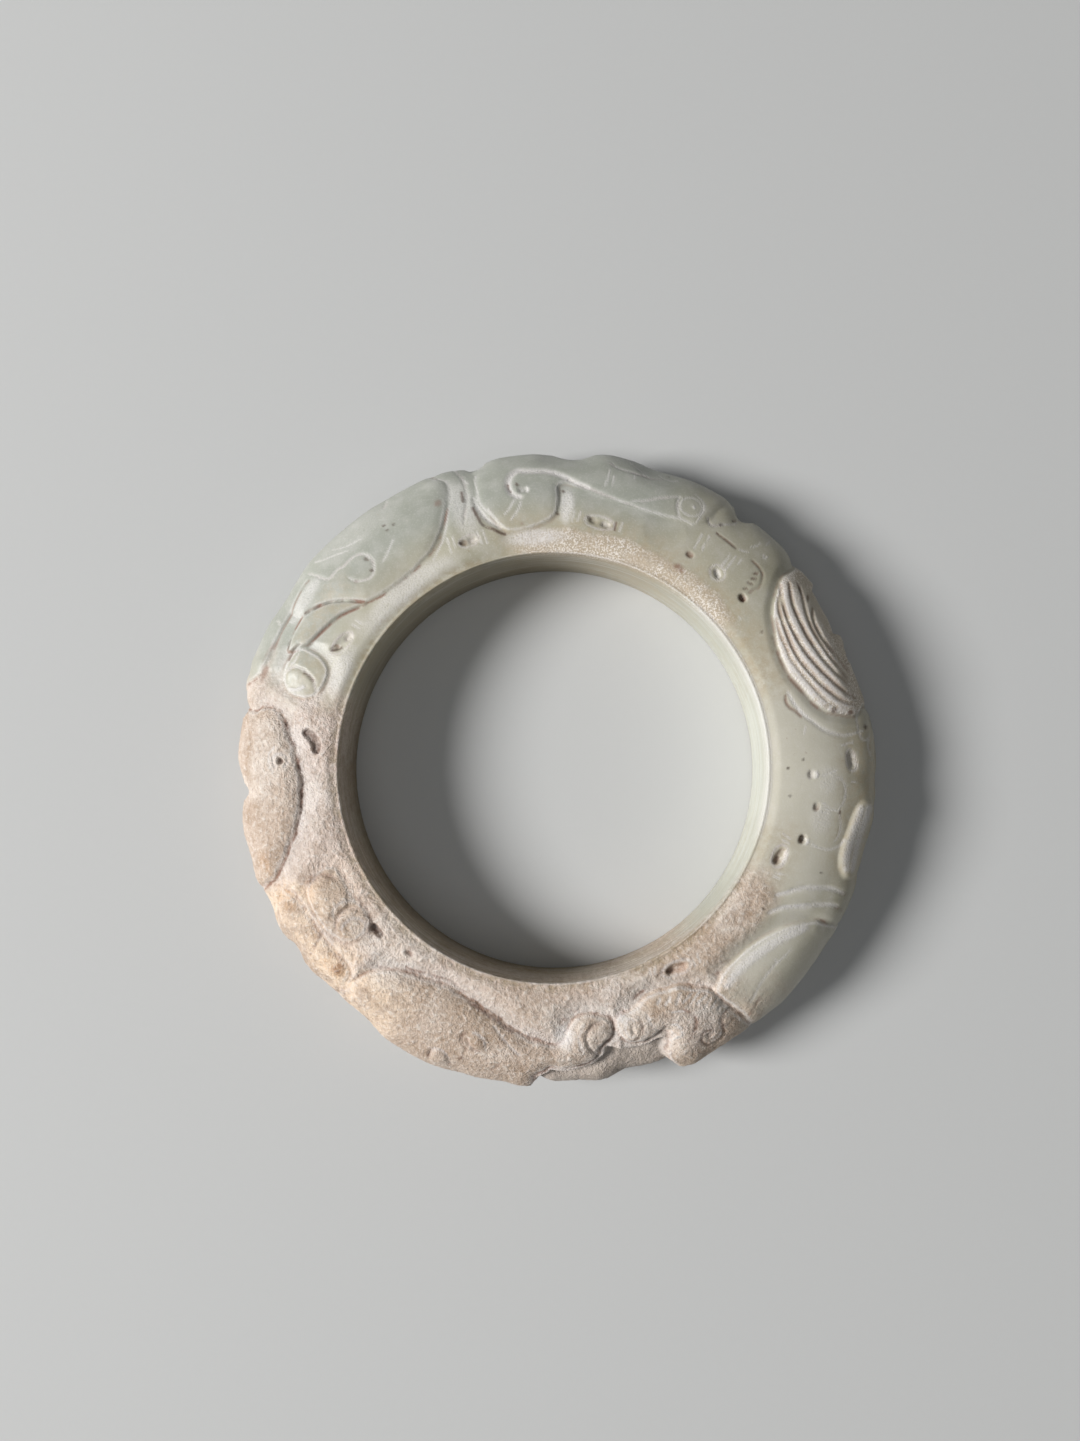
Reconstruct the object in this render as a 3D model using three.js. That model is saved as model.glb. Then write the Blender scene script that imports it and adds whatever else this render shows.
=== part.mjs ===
// Jade bangle carved from one stone: a closed ring of D section with a straight bore,
// and creatures, leaves and scrolls in low relief over the top and the flank.
// Millimetres, +Z up, origin under the centre of the bore on the face it lies on.
import * as THREE from "three";

// Ring
const boreDiameter = 58;
const outerDiameter = 89.2;
const height = 12.8;
const boreEdgeBreak = 0.3;
const topLand = 1.6;
const undersideLand = 3;

// Relief, measured from the plain polished section
const stepRun = 0.6;
const swellHeight = 0.45;
const swellRun = 2.2;
const wearDepth = 0.5;
const fluteDepth = 0.6;

// Facets
const columns = 190;
const groundRows = 3;
const topRows = 10;
const undersideGroundRows = 2;
const undersideRows = 4;

const polishedJade = new THREE.MeshStandardMaterial({
  color: 0x9c9f8c,
  roughness: 0.35,
  metalness: 0,
});

// The carving is drawn on a strip: degrees round the ring, and millimetres from the
// bore's upper edge outwards over the top. The strip stretches to fit the section.
const drawnWidth = 18;

// A body stands between its outline and the rim. lift is its height over the plain
// section, sunk is how far the ground beside it is cut down, between the angles in round.
const bodies = [
  {
    name: "fluted shell",
    outline: [
      [39, 15], [39.2, 12], [38, 10], [36, 8.1], [32, 6.3], [28, 5.3], [23, 5], [18, 5.8],
      [13, 7.3], [10.7, 9], [9.4, 12], [10, 15], [11, 21], [39, 21],
    ],
    lift: 0, sunk: 0.25, ground: 1.5, round: [5, 45],
  },
  {
    name: "dragon head and neck curl",
    outline: [
      [105, 21], [104.7, 13.4], [105.2, 10], [104, 6.5], [102, 4.2], [98.5, 3], [94, 3.3],
      [90.5, 4.1], [88.4, 6], [88.5, 9.2], [84.5, 9.3], [78, 8.2], [70, 7.8], [62, 8.6],
      [58, 9.7], [57, 13], [56.5, 21],
    ],
    lift: 0.15, sunk: 0.75, ground: 3, round: [84, 104],
  },
  {
    name: "large leaf",
    outline: [
      [150, 21], [149, 11.2], [146.4, 10], [144, 8.9], [141.5, 7], [139, 4.7], [135, 3.6],
      [130, 3.2], [124.5, 3.4], [120, 4.1], [116, 5.8], [112.4, 8.9], [110.6, 12.5],
      [112.7, 16.2], [113, 21],
    ],
    lift: 0.3, sunk: 0.75, ground: 2.6, round: [117, 145],
  },
  {
    name: "neck beside the leaf",
    outline: [
      [156.5, 10.6], [153, 11.1], [149, 11], [145.5, 9.7], [142, 7.4], [139.6, 5.2],
      [142, 5.4], [146, 6.6], [150, 7.4], [153.8, 8.2],
    ],
    lift: -0.35, sunk: 0.6, ground: 2.4, round: [140, 158],
  },
  {
    name: "crest over the neck",
    outline: [[166, 21], [164, 14.8], [160, 13.2], [154, 13.3], [148, 13.6], [142, 13.8], [141, 21]],
    lift: 0.3, sunk: 0.35, ground: 2, round: [142, 165],
  },
  {
    name: "neck scroll",
    outline: [
      [154.4, 8.5], [154.5, 6.5], [155.6, 4.6], [159.5, 3.5], [163.4, 4.3], [165, 6.5],
      [164.5, 9], [161.5, 10.4], [157, 10.1],
    ],
    lift: -0.1, sunk: 0.6, ground: 2.5, round: [150, 170],
  },
  {
    name: "long leaf",
    outline: [
      [203, 21], [202.5, 13], [200, 10.4], [196.5, 7.9], [192, 6], [188, 5.2], [184, 4.9],
      [179, 5.5], [175, 6.4], [171, 8], [168.4, 9.8], [168.4, 11.8], [169.8, 13.6], [170.5, 21],
    ],
    lift: 0, sunk: 0.8, ground: 4, round: [164, 206],
  },
  {
    name: "worn shell scroll",
    outline: [
      [222, 3.6], [221.8, 6], [219.5, 8], [213, 8.9], [207, 8.2], [204.2, 5.8], [205, 3],
      [212, 2.2], [219, 2.3],
    ],
    lift: -0.15, sunk: 0.4, ground: 2, round: [200, 226],
  },
  {
    name: "worn wing",
    outline: [
      [226.5, 21], [226.3, 12], [223.5, 9.5], [216, 9.7], [210, 9.9], [205.4, 10.8],
      [203.6, 13], [203.5, 21],
    ],
    lift: -0.1, sunk: 0.4, ground: 1.5, round: [200, 230],
  },
  {
    name: "long fish head",
    outline: [
      [266, 21], [266.6, 14.5], [269, 12.3], [275.5, 11.9], [279.6, 9.7], [282.9, 7.5],
      [282.6, 5.4], [279.5, 4.6], [276.6, 5.4], [274.6, 8], [271, 8.3], [265, 7.4],
      [258, 5.3], [250, 3.7], [244, 3.4], [238, 4.2], [231.5, 5.8], [228, 8.8], [227.3, 12],
      [227.5, 21],
    ],
    lift: -0.05, sunk: 0.8, ground: 3.2, round: [228, 286],
  },
  {
    name: "crested creature",
    outline: [
      [307, 21], [306.8, 13], [306, 10], [304.9, 7.2], [302.5, 5.6], [299.5, 4.3],
      [294, 3.7], [289, 4.7], [285, 5.4], [283.8, 7.4], [285.2, 9.1], [289, 9.8],
      [292.3, 9.8], [291.9, 13.5], [293, 21],
    ],
    lift: 0.1, sunk: 0.75, ground: 3, round: [282, 308],
  },
  {
    name: "pale leaf",
    outline: [
      [330.6, 21], [330.2, 13.5], [327.3, 10], [323, 7.7], [318, 6.4], [312, 6.2],
      [307.6, 6.9], [305.6, 8.5], [306.6, 11.5], [308, 21],
    ],
    lift: 0.2, sunk: 0.75, ground: 2.6, round: [303, 330],
  },
  {
    name: "almond leaf",
    outline: [
      [354, 14.6], [352, 12.6], [348, 11.8], [343, 11.4], [340, 12.4], [339, 14],
      [341, 16], [347, 17], [352.6, 16.4],
    ],
    lift: 0.35, sunk: 0, ground: 1, round: [0, 0],
  },
];

// Hollows in the flank: middle, half sizes in degrees and millimetres, and depth.
const hollows = [
  { at: [20, 16], half: [1.6, 1.8], depth: 0.9 },
  { at: [28.8, 15.6], half: [6.5, 3.6], depth: 1.1 },
  { at: [38.6, 17], half: [1.6, 2.4], depth: 0.9 },
  { at: [52, 17.5], half: [2.4, 3], depth: 0.9 },
  { at: [86, 18], half: [4.4, 3.4], depth: 0.9 },
  { at: [104, 18], half: [3, 3.4], depth: 0.8 },
  { at: [169.7, 18], half: [1.8, 3], depth: 0.6 },
  { at: [184.6, 18], half: [4, 4.4], depth: 1 },
  { at: [206, 18], half: [3, 3], depth: 0.4 },
  { at: [215.6, 18], half: [2.6, 3], depth: 0.5 },
  { at: [230, 18], half: [7, 4.5], depth: 0.6 },
  { at: [279, 16.5], half: [14, 6.6], depth: 1.5 },
];

// Drilled pits and eyelets, by the same three values.
const pits = [
  { at: [0.8, 11.5], half: [2.4, 1.1], depth: 0.7 },
  { at: [41.1, 5.1], half: [1.9, 1.2], depth: 1 },
  { at: [49, 5.1], half: [2, 1.3], depth: 0.9 },
  { at: [56.6, 5], half: [1.9, 1.2], depth: 0.8 },
  { at: [78.3, 4.4], half: [3.6, 1.2], depth: 0.9 },
  { at: [95.8, 8.8], half: [2.2, 1.4], depth: 1.1 },
  { at: [110.4, 3.3], half: [2.6, 1.1], depth: 0.9 },
  { at: [149.6, 3.6], half: [3.6, 1.2], depth: 0.9 },
  { at: [172, 4.6], half: [1.9, 1.4], depth: 1 },
  { at: [175.9, 3], half: [2.2, 1.1], depth: 0.9 },
  { at: [179, 7.8], half: [1.8, 1.2], depth: 0.9 },
  { at: [222.6, 3], half: [2.4, 1.1], depth: 1.1 },
  { at: [300.8, 2.4], half: [3.4, 1.1], depth: 0.8 },
  { at: [337.7, 3.3], half: [2.8, 1.1], depth: 0.8 },
  { at: [343.5, 5.6], half: [1.9, 1.2], depth: 1 },
  { at: [351, 6.6], half: [1.9, 1.2], depth: 0.7 },
  { at: [357.9, 5.6], half: [1.9, 1.2], depth: 0.9 },
];

// Broad grooves: the points of their middle lines, half width and depth.
const grooves = [
  {
    name: "gouge beside the shell",
    points: [[6.2, 13.5], [5.8, 11], [7, 8.2], [10, 5.9], [13.5, 4.5], [17, 4]],
    half: 0.7, depth: 0.35,
  },
  {
    name: "neck curl",
    points: [
      [60, 9], [68, 8.3], [76, 8.4], [82.5, 9.4], [88, 10.9], [93, 11.8], [97, 11.8],
      [98.8, 10], [97.8, 8.2],
    ],
    half: 0.8, depth: 0.5,
  },
  {
    name: "band between head and leaf",
    points: [[108.2, 18], [107.4, 14], [107.2, 11.5], [107.9, 8.8], [109.8, 6]],
    half: 0.7, depth: 0.4,
  },
  {
    name: "hook on the large leaf",
    points: [
      [141.5, 14], [140.3, 11], [136.5, 10.6], [132.4, 10.1], [131.2, 8.5], [132.8, 6.7],
      [135.5, 6.8], [137, 8.4],
    ],
    half: 0.7, depth: 0.35,
  },
  {
    name: "turn of the neck scroll",
    points: [[163.2, 9.3], [160.5, 9.8], [158.9, 8], [159.7, 5.9], [162, 4.7], [164, 4.5]],
    half: 0.7, depth: 0.4,
  },
  {
    name: "crest scroll of the creature",
    points: [
      [306.6, 11.7], [304.8, 11.1], [303.4, 12.4], [301.9, 14.4], [299.6, 14.4],
      [298.6, 13], [299.8, 11.9],
    ],
    half: 0.7, depth: 0.4,
  },
  {
    name: "rolled curl of the fish head",
    points: [[276.3, 9.8], [275.7, 8.3], [277.2, 6.4], [280.3, 5.4], [282.4, 6]],
    half: 0.6, depth: 0.35,
  },
  {
    name: "first sweep before the pale leaf",
    points: [[336.4, 18], [336.3, 13], [335, 9.7], [332.8, 7.2], [330, 5.3]],
    half: 0.6, depth: 0.35,
  },
  {
    name: "second sweep before the pale leaf",
    points: [[333.5, 18], [333.5, 13.2], [331.5, 10.2], [329, 7.6], [325.8, 5.7]],
    half: 0.7, depth: 0.4,
  },
];

const boreRadius = boreDiameter / 2;
const edgeRadius = boreRadius + boreEdgeBreak;
const rimRadius = outerDiameter / 2;
const middle = height / 2;

// Half of the section, from the bore's edge along the land and the flank to the rim
function halfSection(land, faceHeight) {
  const half = new THREE.Path();
  const flank = rimRadius - edgeRadius - land;
  const up = faceHeight > middle;
  half.moveTo(edgeRadius, faceHeight);
  half.lineTo(edgeRadius + land, faceHeight);
  half.absellipse(edgeRadius + land, middle, flank, middle, up ? Math.PI / 2 : -Math.PI / 2, 0, up);
  return half;
}

const topHalf = halfSection(topLand, height);
const undersideHalf = halfSection(undersideLand, 0);

// Catmull-Rom outline or groove line through its drawn points
function smoothLine(points, closed, steps) {
  const corners = points.map(([angle, across]) => new THREE.Vector3(angle, across, 0));
  return new THREE.CatmullRomCurve3(corners, closed, "centripetal").getPoints(steps);
}

const stepsPerPoint = 4;
const reachAround = 6;

// Draws a body's outline or a groove's line, and notes the angles that it acts on
function draw(shape, points, closed) {
  shape.line = smoothLine(points, closed, points.length * stepsPerPoint);
  const angles = shape.line.map(({ x }) => x);
  shape.from = Math.min(...angles) - reachAround;
  shape.to = Math.max(...angles) + reachAround;
}

for (const body of bodies) draw(body, body.outline, true);
for (const groove of grooves) draw(groove, groove.points, false);

function turned(angle, reference) {
  return reference + ((((angle - reference + 180) % 360) + 360) % 360) - 180;
}

function acts(shape, angle) {
  const here = turned(angle, (shape.from + shape.to) / 2);
  return here > shape.from && here < shape.to;
}

// Distance in millimetres from a point of the strip to a drawn line
function distanceTo(line, angle, across, perDegree) {
  const here = turned(angle, line[0].x);
  let least = Infinity;
  for (let i = 1; i < line.length; i++) {
    const ax = (line[i - 1].x - here) * perDegree;
    const ay = line[i - 1].y - across;
    const dx = (line[i].x - line[i - 1].x) * perDegree;
    const dy = line[i].y - line[i - 1].y;
    const share = THREE.MathUtils.clamp(-(ax * dx + ay * dy) / (dx * dx + dy * dy || 1), 0, 1);
    least = Math.min(least, Math.hypot(ax + share * dx, ay + share * dy));
  }
  return least;
}

function isInside(line, angle, across) {
  const here = turned(angle, line[0].x);
  let inside = false;
  for (let i = 1; i < line.length; i++) {
    const a = line[i - 1];
    const b = line[i];
    if (a.y > across === b.y > across) continue;
    if (here < a.x + ((across - a.y) / (b.y - a.y)) * (b.x - a.x)) inside = !inside;
  }
  return inside;
}

const fadeAngle = 3;

// Share of a cut between two angles, which runs out at both of them
function between(angle, [from, to]) {
  const here = turned(angle, (from + to) / 2);
  return (
    THREE.MathUtils.smoothstep(here, from, from + fadeAngle) *
    (1 - THREE.MathUtils.smoothstep(here, to - fadeAngle, to))
  );
}

function dish(angle, across, { at, half, depth }) {
  const x = (turned(angle, at[0]) - at[0]) / half[0];
  const y = (across - at[1]) / half[1];
  const reach = Math.hypot(x, y);
  return reach >= 1 ? 0 : depth * (1 - reach * reach);
}

// The long side that has lost some of its flank to wear
const wornAngles = [160, 296];
const wornFrom = 5;

function wear(angle, across) {
  const share = THREE.MathUtils.smoothstep(across, wornFrom, drawnWidth);
  return wearDepth * share * between(angle, wornAngles);
}

const shell = bodies[0];
const flutesFrom = 11.5;
const flutesTo = 15.5;

// Flutes that follow the shell's edge from end to end, two rows of facets to each, and run
// out into the hollow behind them
function flutes(angle, across) {
  if (!acts(shell, angle) || !isInside(shell.line, angle, across)) return 0;
  const crown = edgeOfCarving(angle) + stepRun;
  const row = (topRows * (across - crown)) / (drawnWidth - crown);
  const runOut = 1 - THREE.MathUtils.smoothstep(across, flutesFrom, flutesTo);
  return fluteDepth * runOut * (0.5 - 0.5 * Math.cos(Math.PI * row));
}

// Height of the carved surface over the plain section. The bodies stand up towards the
// rim, and stay level with the faces near the bore.
function relief(angle, across, perDegree, isUnderside) {
  let ground = 0;
  let body = -Infinity;
  for (const shape of bodies) {
    if (!acts(shape, angle)) continue;
    const distance = distanceTo(shape.line, angle, across, perDegree);
    const foot = shape.sunk * between(angle, shape.round);
    if (isInside(shape.line, angle, across)) {
      const step = THREE.MathUtils.smoothstep(distance, 0, stepRun);
      const swell = swellHeight * (1 - Math.exp(-distance / swellRun));
      const crown = (shape.lift + swell) * Math.min(1, across / drawnWidth);
      body = Math.max(body, (crown + foot) * step - foot);
    } else {
      ground = Math.min(ground, -foot * Math.max(0, 1 - distance / shape.ground));
    }
  }
  let carved = (body > -Infinity ? body : ground) - wear(angle, across);
  carved -= flutes(angle, across);
  for (const hollow of hollows) carved -= dish(angle, across, hollow);
  if (isUnderside) return carved;
  for (const pit of pits) carved -= dish(angle, across, pit);
  for (const groove of grooves) {
    if (!acts(groove, angle)) continue;
    const distance = distanceTo(groove.line, angle, across, perDegree);
    carved -= groove.depth * (1 - THREE.MathUtils.smoothstep(distance, 0, groove.half));
  }
  return carved;
}

// Where the carving begins at an angle, looking outwards from the bore
const searchFrom = 2.5;
const searchTo = 13;
const searchStep = 0.1;
const plainEdge = 9;

function firstBodyFrom(angle) {
  const here = bodies.filter((shape) => acts(shape, angle));
  for (let across = searchFrom; across < searchTo; across += searchStep) {
    if (here.some(({ line }) => isInside(line, angle, across))) return across;
  }
  return plainEdge;
}

// The edge that the rows of facets follow climbs away from the bore by a bounded step from
// column to column, so that no facet is drawn out
const climbPerColumn = 1.3;
const columnAngle = 360 / columns;
const firstEdges = Array.from({ length: columns }, (_, i) => firstBodyFrom(i * columnAngle));
const neighbours = Math.ceil((searchTo - searchFrom) / climbPerColumn);

const edges = firstEdges.map((edge, column) => {
  let least = edge;
  for (let step = -neighbours; step <= neighbours; step++) {
    const beside = firstEdges[(column + step + columns) % columns];
    least = Math.min(least, beside + climbPerColumn * Math.abs(step));
  }
  return least;
});

function edgeOfCarving(angle) {
  return edges[Math.round(angle / columnAngle) % columns];
}

function evenShares(rows) {
  return Array.from({ length: rows + 1 }, (_, i) => i / rows);
}

// Rows of one column, from the bore's edge to the rim: the first two bound the flat land,
// and two hold the step at the carving's edge, so that the bodies' outlines stay crisp
function rowsOf(angle, landEnd, groundShares, flankShares) {
  const edge = Math.max(edgeOfCarving(angle), landEnd + stepRun);
  const foot = edge - stepRun / 4;
  const crown = edge + stepRun;
  const ground = groundShares.map((share) => landEnd + (foot - landEnd) * share);
  return [0, ...ground, ...flankShares.map((share) => crown + (drawnWidth - crown) * share)];
}

// The land beside the bore stays flat, and nothing stands over it
function carvedPoint(half, landEnd, angle, across, isUnderside) {
  const share = Math.min(1, across / drawnWidth);
  const point = half.getPoint(share);
  if (across <= landEnd) return point;
  const tangent = half.getTangent(share);
  const outward = new THREE.Vector2(-tangent.y, tangent.x);
  if (isUnderside) outward.negate();
  const perDegree = THREE.MathUtils.degToRad(point.x);
  point.addScaledVector(outward, relief(angle, across, perDegree, isUnderside));
  point.y = THREE.MathUtils.clamp(point.y, 0, height);
  return point;
}

function carvedTop(angle) {
  const landEnd = (drawnWidth * topLand) / topHalf.getLength();
  const rows = rowsOf(angle, landEnd, evenShares(groundRows), evenShares(topRows));
  return rows.map((across) => carvedPoint(topHalf, landEnd, angle, across, false));
}

// Ends before the rim, which is the top's last row
function carvedUnderside(angle) {
  const landEnd = (drawnWidth * undersideLand) / undersideHalf.getLength();
  const towardsRim = evenShares(undersideRows).map((share) => Math.sin((Math.PI / 2) * share));
  const rows = rowsOf(angle, landEnd, evenShares(undersideGroundRows), towardsRim.slice(0, -1));
  return rows.map((across) => carvedPoint(undersideHalf, landEnd, angle, across, true));
}

// One closed section of the ring at an angle: down the bore, out under the ring to the
// rim, and back over the top
function sectionAt(angle) {
  const top = carvedTop(angle);
  const under = carvedUnderside(angle);
  const bore = [
    new THREE.Vector2(boreRadius, height - boreEdgeBreak),
    new THREE.Vector2(boreRadius, boreEdgeBreak),
  ];
  return [top[0].clone(), ...bore, ...under, ...top.reverse()];
}

// The lathe gives the closed ring; each of its sections is then set to the carved one
const ring = new THREE.LatheGeometry(sectionAt(0), columns);
const position = ring.getAttribute("position");
for (let column = 0; column <= columns; column++) {
  const angle = columnAngle * (column % columns);
  const turn = THREE.MathUtils.degToRad(angle);
  sectionAt(angle).forEach((point, row, section) => {
    position.setXYZ(
      column * section.length + row,
      point.x * Math.cos(turn),
      point.x * Math.sin(turn),
      point.y,
    );
  });
}
ring.deleteAttribute("normal");
ring.deleteAttribute("uv");

const bangle = new THREE.Mesh(ring, polishedJade);
bangle.name = "bangle";

const part = new THREE.Group();
part.add(bangle);

export default part;
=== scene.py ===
import math

import bpy
import numpy as np
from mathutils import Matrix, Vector, noise


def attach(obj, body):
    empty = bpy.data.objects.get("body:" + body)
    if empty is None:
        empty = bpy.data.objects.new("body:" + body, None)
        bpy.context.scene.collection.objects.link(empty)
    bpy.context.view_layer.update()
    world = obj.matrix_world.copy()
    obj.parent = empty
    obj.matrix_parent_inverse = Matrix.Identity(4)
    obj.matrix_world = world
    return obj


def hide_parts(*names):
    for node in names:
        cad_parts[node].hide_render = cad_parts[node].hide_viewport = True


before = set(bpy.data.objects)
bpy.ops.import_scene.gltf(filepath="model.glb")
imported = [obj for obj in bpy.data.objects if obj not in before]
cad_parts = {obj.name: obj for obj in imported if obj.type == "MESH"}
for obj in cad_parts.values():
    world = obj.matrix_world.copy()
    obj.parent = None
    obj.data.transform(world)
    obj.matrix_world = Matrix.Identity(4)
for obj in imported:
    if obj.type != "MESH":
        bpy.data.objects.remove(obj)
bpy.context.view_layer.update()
scene = bpy.context.scene
print("frame loaded")

mm = 0.001
noBody = -9.0                 # stands for no body at a point
depositNames = ("white", "rust", "soil")

# what a user would change on the bangle: sizes in mm
bangle = {
    "boreRadius": 29.0,
    "rimRadius": 44.6,
    "height": 12.8,
    "edgeBreak": 0.3,
    "topLand": 1.6,
    "undersideLand": 3.0,
    "drawnWidth": 18.0,       # the carving is drawn on a strip of this width, bore edge to rim
    "columns": 1024,
    "fineRows": 73,           # over the carved part of the top
    "sideRows": 6,
    "fineTo": 14.8,
    "undersideRows": 11,
    "boreRows": 3,
    "stepFrom": -0.2,         # a body's steep step runs between these distances from its line
    "stepTo": 0.3,
    "swellHeight": 0.4,       # how far a body rounds up behind its edge
    "swellRun": 2.2,
    "wearDepth": 0.5,         # flank lost on the worn side
    "flankFrom": 15.0,        # hollows further out than this run on under the rim
    "grainDepth": 0.07,       # pitting of the calcified side
    "raggedness": 0.22,       # how far the calcified bodies' outlines wander
    "seed": 7,                # fixes the wandering, so that every run gives the same ring
    "waveScale": 0.55,        # how fine the wandering and the pitting are
    "rippleScale": 1.6,
    "grainScale": 3.1,
    "flatLand": 1.2,          # nothing stands up this near the bore
    "edgeRound": 0.25,        # how far the bore's upper edge is worn round
    "edgeRoundRun": 1.6,
    "rimFrom": 11.0,          # the outline takes over between these two distances
    "rimTo": 15.3,
    "outlineRaise": 0.1,
}

# Parts of the ring, by angle: start, end, how far it fades in at both.
zones = {
    "wornFlank": (160, 296, 3),
    "calcified": (150, 322, 24),
    "boreStrip": (280, 341, 16),
    "crust": (24, 114, 28),
    "soundNeck": (140, 168, 6),
    "warmWing": (198, 244, 10),
    # painted light on the crested creature's outer part, which faces away from the lamp
    "paintedLightCreature": (282, 314, 6),
    # milky pale stone, and painted light on the right side's inner part and on the pale leaf
    "milkySide": (322, 396, 14),
    "milkyLeaf": (306, 334, 4),
    "beigeRim": (335, 372, 8),
    "beigeBore": (12, 108, 10),
    "beigeBand": (318, 350, 8),
    "beigeNeck": (134, 168, 8),
    "shell": (8, 41, 2),
    "dustyGround": (84, 168, 6),
    # the bore's upper edge, whitened by wear and by a painted highlight on the side facing the
    # lamp
    "wornEdgeAndHighlight": (336, 412, 10),
    "stainedEdge": (100, 338, 16),
    "boreStain": (102, 130, 10),
    # painted greenish reflected light on the upper flanks
    "greenishReflection": (55, 172, 16),
    # painted shade inside the sunk panel
    "panelShade": (262, 296, 2),
    "sandyCreature": (284, 338, 8),
    "sandyFish": (236, 290, 16),
    # painted shade on the bore wall's shaded side, darker towards the underside
    "shadedBoreSide": (70, 300, 30),
    # painted light on the bore wall's lit side
    "litBore": (300, 430, 30),
}

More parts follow.
